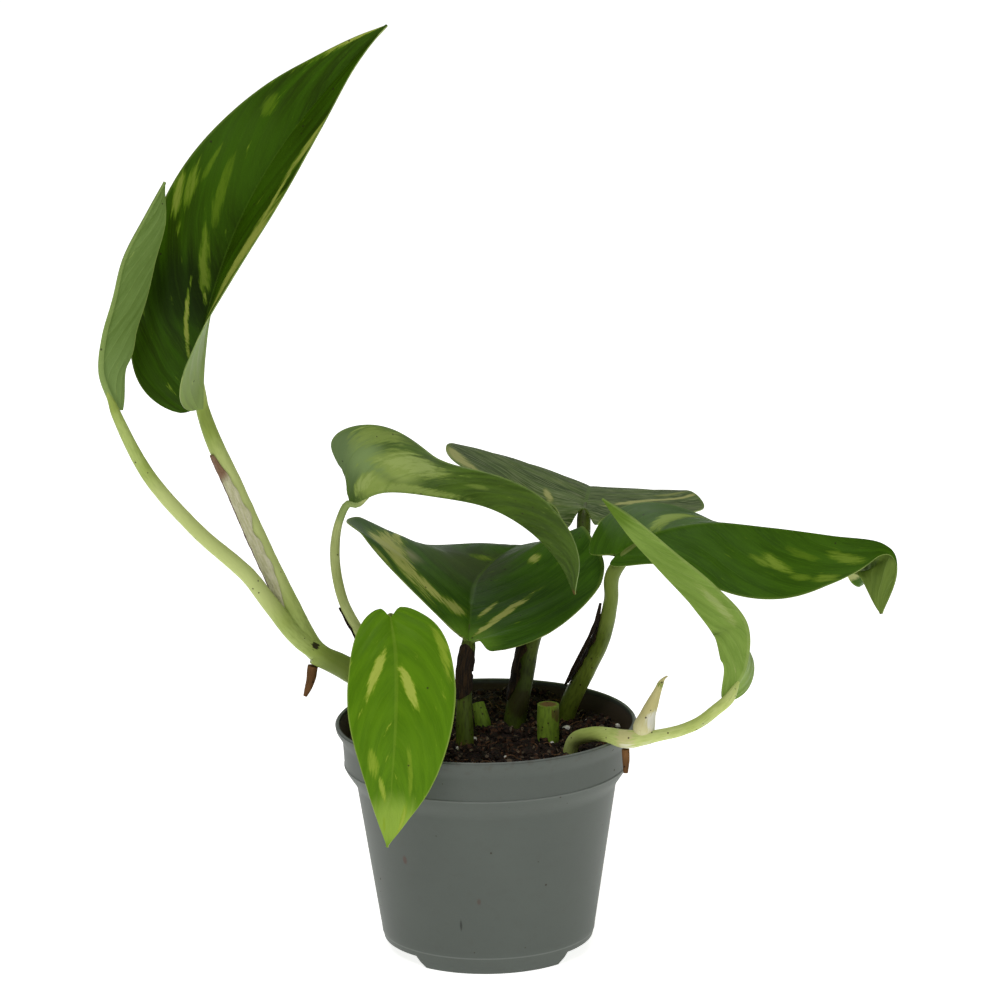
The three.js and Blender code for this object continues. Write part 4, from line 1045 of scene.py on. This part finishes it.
def cutters():
    """The three gaps between the feet and the six drain holes, as one mesh to cut away."""
    bm = bmesh.new()
    for turn, half_angle in FOOT_GAPS:
        made = bmesh.ops.create_cube(bm, size=1)["verts"]
        for vert in made:
            low = vert.co.z < 0
            half = GAP_RADIUS * math.tan(math.radians(half_angle - (0 if low else GAP_TAPER)))
            vert.co = (math.copysign(half, vert.co.x), GAP_RADIUS + math.copysign(GAP_REACH, vert.co.y),
                       GAP_LOW if low else GAP_HIGH)
        bmesh.ops.rotate(bm, verts=made, cent=(0, 0, 0), matrix=Matrix.Rotation(math.radians(turn), 3, "Z"))
    for k in range(DRAIN_HOLES):
        angle = (k + 0.5) * 2 * math.pi / DRAIN_HOLES
        place = (DRAIN_PLACE * math.cos(angle), DRAIN_PLACE * math.sin(angle), DRAIN_HEIGHT)
        bmesh.ops.create_cone(bm, cap_ends=True, segments=32, radius1=DRAIN_RADIUS, radius2=DRAIN_RADIUS,
                              depth=DRAIN_DEPTH, matrix=Matrix.Translation(place))
    bmesh.ops.scale(bm, vec=(MM, MM, MM), verts=bm.verts[:])
    return object_of("pot_cutters", bm, [])


def make_pot():
    """One moulding, cut through with Boolean, with softened edges."""
    bm = bmesh.new()
    lathe(bm, POT_PROFILE, POT_STEPS)
    pot = object_of("pot_shell", bm, [pot_material()], sharp_from=25)
    tool = cutters()
    cut = pot.modifiers.new("gaps_and_holes", "BOOLEAN")
    cut.object, cut.operation, cut.solver = tool, "DIFFERENCE", "EXACT"
    bpy.context.view_layer.update()
    cut_mesh = bpy.data.meshes.new_from_object(pot.evaluated_get(bpy.context.evaluated_depsgraph_get()))
    pot.modifiers.clear()
    pot.data = cut_mesh
    bpy.data.objects.remove(tool)
    soften = pot.modifiers.new("soft_edges", "BEVEL")
    soften.width, soften.segments = EDGE_WIDTH * MM, 2
    soften.limit_method, soften.angle_limit = "ANGLE", math.radians(EDGE_FROM)
    dress(pot, "pot_plastic", "pot")


# ---- Soil -------------------------------------------------------------------------------------

SOIL_SIDE = [(55.1, 81), (54.8, 76), (53.9, 73.6), (51.1, 69.8), (49.7, 67.2), (40.8, 6.95), (0, 6.95)]
LUMPS = [(24, 44, 5.5, 9), (-4, 44, 5, 16), (12, 48, 3, 9), (46, 10, 2.5, 10), (12, 4, 1.5, 18)]
POT_INSIDE, BORDER, BORDER_SINKS = 55, 3, 1.2   # along the pot's wall the soil sinks a little
SOIL_RINGS, SOIL_STEPS = 72, 220
STREWN = 52                             # the radius within which loose bits lie
SUNK = 0.25                             # how deep a lump sits, as a share of its size
TURN = 6.28                             # a full turn, near enough
# Loose crumbs, and perlite grains: how many, between which sizes, and how finely each is made.
CRUMBS = [(1100, (0.5, 1.5), 1), (190, (1.4, 2.8), 2)]
GRAINS = (26, (0.5, 1.1), 2)
FIBRES, FIBRE_POINTS = 85, 5
# The perlite grains that the photo shows, as (x, y, size). The others lie by chance.
GRAINS_SEEN = [(31.8, 6.6, 2.1), (52.7, 9.0, 1.3), (0.8, -21.8, 1.5), (7.9, -26.3, 1.2), (-4.8, -6.5, 1.3)]


def soil_height(x, y):
    """The filled level with its hummocks and lumps. A lump is (x, y, rise, spread)."""
    rough = (0.9 * math.sin(0.21 * x + 0.7) * math.cos(0.17 * y)
             + 0.6 * math.sin(0.52 * x) * math.sin(0.43 * y + 1))
    lumps = sum(rise * math.exp(-((x - at_x) ** 2 + (y - at_y) ** 2) / spread ** 2)
                for at_x, at_y, rise, spread in LUMPS)
    return SOIL_LEVEL + rough + lumps


def crumble(x, y):
    """Clods and crumbs on the soil's surface."""
    clods = noise.fractal(Vector((x * 0.16, y * 0.16, 2)), 0.9, 2.1, 4)
    crumbs = noise.noise(Vector((x * 0.75, y * 0.75, 7)))
    return 1.9 * clods + 0.8 * crumbs


def soil_surface(x, y):
    return soil_height(x, y) + crumble(x, y)


def make_soil():
    """The fill: its side follows the pot, its top is rough."""
    bm = bmesh.new()
    top = [(r, SOIL_LEVEL) for r in np.linspace(0, SOIL_SIDE[0][0], SOIL_RINGS)[:-1]]
    lathe(bm, top + SOIL_SIDE, SOIL_STEPS)
    for vert in bm.verts:
        x, y, z = vert.co / MM
        if z > SOIL_LEVEL - 0.1:
            off_wall = max(0.0, min(1.0, (POT_INSIDE - math.hypot(x, y)) / BORDER))
            rough = crumble(x, y) * (0.3 + 0.7 * off_wall)
            vert.co.z = (soil_height(x, y) + rough - BORDER_SINKS * (1 - off_wall)) * MM
    peat = soil_material("soil", "160e0b", "30201a", 0.7)
    dress(object_of("soil_bed", bm, [peat], sharp_from=180), "soil", "soil")


def strewn(reach, limit):
    """A random place no further than a limit from the pot's axis."""
    x = y = reach
    while math.hypot(x, y) > limit:
        x, y = random.uniform(-reach, reach), random.uniform(-reach, reach)
    return x, y


def scatter(bm, count, sizes, fineness, seen=()):
    """Angular lumps strewn over the soil, the first ones where they are seen."""
    for k in range(count):
        size = random.uniform(*sizes)
        x, y = strewn(STREWN, STREWN)
        if k < len(seen):
            x, y, size = seen[k]
        place = Matrix.Translation((x, y, soil_surface(x, y) + size * SUNK))
        angle = random.uniform(0, TURN)
        turn = Matrix.Rotation(angle, 4, Vector((random.random(), random.random(), 1)).normalized())
        stretch = Matrix.Diagonal((size * random.uniform(0.7, 1.2), size * random.uniform(0.7, 1.2),
                                   size * random.uniform(0.7, 1.0), 1))
        made = bmesh.ops.create_icosphere(bm, subdivisions=fineness, radius=1, matrix=place @ turn @ stretch)
        for vert in made["verts"]:
            shift = noise.noise_vector(vert.co * (0.9 / size) + Vector((x, y, 0)))
            vert.co = (vert.co + shift * size * 0.28) * MM


def make_soil_bits():
    """Loose crumbs, perlite grains and pale fibres on the soil."""
    bm = bmesh.new()
    for count, sizes, fineness in CRUMBS:
        scatter(bm, count, sizes, fineness)
    crumbs = soil_material("soil_crumbs", "140d0a", "34231a", 0.9)
    dress(object_of("soil_crumbs", bm, [crumbs], sharp_from=70), "soil")
    bm = bmesh.new()
    scatter(bm, *GRAINS, GRAINS_SEEN)
    dress(object_of("perlite", bm, [perlite_material()], sharp_from=70), "soil")
    bm = bmesh.new()
    bm.loops.layers.uv.new("stem")
    for _ in range(FIBRES):
        x, y = strewn(50, 49)
        heading, turn, length = random.uniform(0, TURN), random.uniform(-1.2, 1.2), random.uniform(5, 15)
        points = []
        steps = FIBRE_POINTS - 1
        for _ in range(FIBRE_POINTS):
            points.append((x, y, soil_surface(x, y) + random.uniform(0.1, 1.3), random.uniform(0.18, 0.34)))
            x, y = x + math.cos(heading) * length / steps, y + math.sin(heading) * length / steps
            heading += turn / steps
            if math.hypot(x, y) > STREWN:
                break
        if len(points) > 2:
            add_tube(bm, points, rings=6, sides=6, uneven=0)
    bmesh.ops.recalc_face_normals(bm, faces=bm.faces[:])
    fibre = dry_material("peat_fibre", "4a2f1e", "8a6a4a")
    dress(object_of("soil_fibres", bm, [fibre], sharp_from=60), "soil")


# ---- Stems and what grows on them -------------------------------------------------------------

# Base, light and dark colour, how many specks, and tinted places: centre, radius, colour and share.
STEM_FINISHES = {
    "stem_green": dict(colours=("98aa50", "a8b866", "85974a"), speck_share=0.12, tints=[
        ((-50, 4, 108), 27, "66772c", 0.85), ((-66.9, -4.8, 125.8), 1.9, "241b12", 0.95),
        ((-105, -10, 168), 46, "bcc67e", 0.8)]),
    "stem_arching": dict(colours=("98a25f", "a7b070", "86924e"), speck_share=0.2, tints=[
        ((-53, -8, 182), 7, "7f9352", 0.8)]),
    "stem_olive": dict(colours=("35400f", "4c5c18", "1c1a08"), speck_share=0.6, roughness=0.5, tints=[
        ((-8.4, -9, 84), 5, "5a4a22", 0.6), ((14, 12, 96), 7, "2a200c", 0.7),
        ((20, 22, 118), 8, "5c6a24", 0.6)]),
    "stem_right": dict(colours=("526318", "6a7a2a", "38420f"), speck_share=0.35, tints=[
        ((48, 10, 145), 24, "74843a", 0.7)]),
    "stem_runner": dict(colours=("b1c066", "c2cd7e", "9cad56"), speck_share=0.25, tints=[
        ((64, -47, 91), 6.5, "c9cfa4", 0.8), ((72, -47, 92.5), 6.5, "c9cfa4", 0.8),
        ((80, -47, 95.5), 6, "c9cfa4", 0.8), ((88, -46, 100.5), 6, "b9c48c", 0.6),
        ((55, -42, 97), 5.2, "c6bf86", 0.85), ((54.5, -46, 92), 5, "dcdcc0", 0.8)]),
    "root": dict(colours=("5f4122", "7a5531", "382414"), speck_share=0.5, speck_colour="20130b",
                 roughness=0.75),
    "shoot": dict(colours=("bfb87e", "d3cf9e", "c9bd80"), speck_share=0.2, tints=[
        ((66.5, -43, 104), 5, "e0dfd2", 0.85), ((68.7, -41, 118.5), 2, "6c8424", 0.9),
        ((71.1, -41, 121.9), 2, "a39a6a", 0.7)]),
    "stump": dict(colours=("648020", "7a9630", "36401a"), speck_share=0.5, roughness=0.55, tints=[
        ((24.8, -5, 101.5), 4.5, "6b4428", 0.9), ((29, -8, 97), 3.5, "54401e", 0.8)]),
}
DRY_FINISHES = {
    "sheath_papery": dict(dark="b2b088", light="c6c2a4", roughness=0.6, margin=(0.852, "4a2a1c"),
                          crumb_share=0.1, tip=((-105.5, -2, 199), 9, "6b3f28")),
    "sheath_dry": dict(dark="140d07", light="33230f"),
}
# Piece, slot, node, its routes, its finish, and the shape of its tubes.
STEMS = [
    ("left_stem_and_petioles", "stem", "stem_left", ("left_stem", "tall_petiole", "narrow_petiole"),
     "stem_green", dict(rings=110)),
    ("arching_petiole", "stem", "petiole_arching", ("arching_petiole",), "stem_arching", dict(rings=90)),
    ("front_petiole", "stem", "petiole_front", ("front_petiole",), "stem_green", {}),
    ("centre_stem", "stem_dark", "stem_centre", ("centre_stem",), "stem_olive", {}),
    ("back_stem", "stem_dark", "stem_back", ("back_stem",), "stem_olive", {}),
    ("right_stem", "stem", "stem_right", ("right_stem",), "stem_right", dict(rings=90)),
    ("runner_stem", "runner", "runner", ("runner",), "stem_runner", dict(rings=100)),
]
SMALL_PIECES = [
    ("root_left_tip", "root", "root_left", ("root_left",), "root", dict(rings=30, uneven=0.12)),
    ("root_runner_tip", "root", "root_runner", ("root_runner",), "root", dict(rings=30, uneven=0.12)),
    ("shoot_bud", "shoot", "shoot", ("shoot",), "shoot", dict(rings=60)),
    ("dry_fibre", "sheath_dry", "fibre_right", ("fibre",), "sheath_dry",
     dict(rings=40, sides=10, uneven=0.3)),
    ("cut_stump", "stem_dark", "stump_cut", ("stump",), "stump", dict(rings=30)),
    ("centre_stub", "stem_dark", "stub_centre", ("centre_stub",), "stump", dict(rings=24)),
    ("right_stub", "stem_dark", "stub_right", ("right_stub",), "stump", dict(rings=24)),
]
# Piece, slot, node, the stem that it clings to, its two ends along that stem and its two margins round it,
# its finish, how far it stands off the stem, and its thickness.
SHEATHS = [
    ("tall_sheath", "sheath", "sheath_tall", "tall_petiole", (0.22, 0.76), (250, 375), "sheath_papery",
     0.55, 0.4),
    ("centre_sheath", "sheath_dry", "sheath_centre", "centre_stem", (0.58, 0.86), (150, 450), "sheath_dry",
     0.3, 0.3),
    ("back_sheath", "sheath_dry", "sheath_back", "back_stem", (0.26, 0.5), (230, 340), "sheath_dry",
     0.55, 0.4),
    ("right_sheath", "sheath_dry", "sheath_right", "right_stem", (0.36, 0.7), (235, 310), "sheath_dry",
     0.55, 0.4),
    ("arching_sheath", "sheath_dry", "sheath_arching", "arching_petiole", (0.48, 0.64), (220, 300),
     "sheath_dry", 0.55, 0.4),
]


def sheath_piece(name, slot, node, points, along, margins, material, stand_off, thickness):
    """A dry sheath that clings to a stem, narrower at its ends, with ragged margins."""
    route = Route(points)
    bm = bmesh.new()
    map_layer = bm.loops.layers.uv.new("stem")
    verts, across, v = flat_grid(bm, 22, 70)
    u = along[0] + (along[1] - along[0]) * v
    ragged = np.array([noise.noise(Vector((row * 9, 6 if side > 0 else 5, 0)))
                       for row, side in zip(v, across)])
    narrow = (1 - 0.75 * np.abs(2 * v - 1) ** 3.5) * (1 + 0.35 * ragged)
    middle, half = math.radians(sum(margins) / 2), math.radians(margins[1] - margins[0]) / 2
    angle = middle + across * half * narrow
    radius = route.radius(u) + stand_off
    radius = radius + 0.25 * roughness_of(route.around(u, angle, radius), 0.35, 1.0)
    move_to(verts, route.around(u, angle, radius))
    lay_map(bm.faces, map_layer, route.map_of(verts, u, angle))
    piece = object_of(name, bm, [material], sharp_from=60)
    thick = piece.modifiers.new("thickness", "SOLIDIFY")
    thick.thickness, thick.offset = thickness * MM, 0
    dress(piece, slot, node)


def make_stems():
    """Stems, petioles, sheaths, roots, stubs and the new shoot."""
    finishes = {name: stem_material(name, **facts) for name, facts in STEM_FINISHES.items()}
    finishes.update({name: dry_material(name, **facts) for name, facts in DRY_FINISHES.items()})
    routes = dict(ROUTES)
    for name, (leaf, radius, closer) in CARRIED.items():
        routes[name] = into_leaf(ROUTES[name], LEAVES[leaf], radius, closer)

    def make_tubes(pieces):
        for name, slot, node, parts, finish, shape in pieces:
            stem_piece(name, slot, node, [routes[part] for part in parts], finishes[finish], **shape)

    make_tubes(STEMS)
    for name, slot, node, stem, along, margins, finish, stand_off, thickness in SHEATHS:
        sheath_piece(name, slot, node, routes[stem], along, margins, finishes[finish], stand_off, thickness)
    make_tubes(SMALL_PIECES)


# ---- The plant in its pot ---------------------------------------------------------------------

make_leaf_space()
make_vein_lines()
make_streak()
make_specks()
make_camera()
make_stage()
make_pot()
make_soil()
make_soil_bits()
for node, leaf in LEAVES.items():
    leaf_piece(node, leaf)
make_stems()
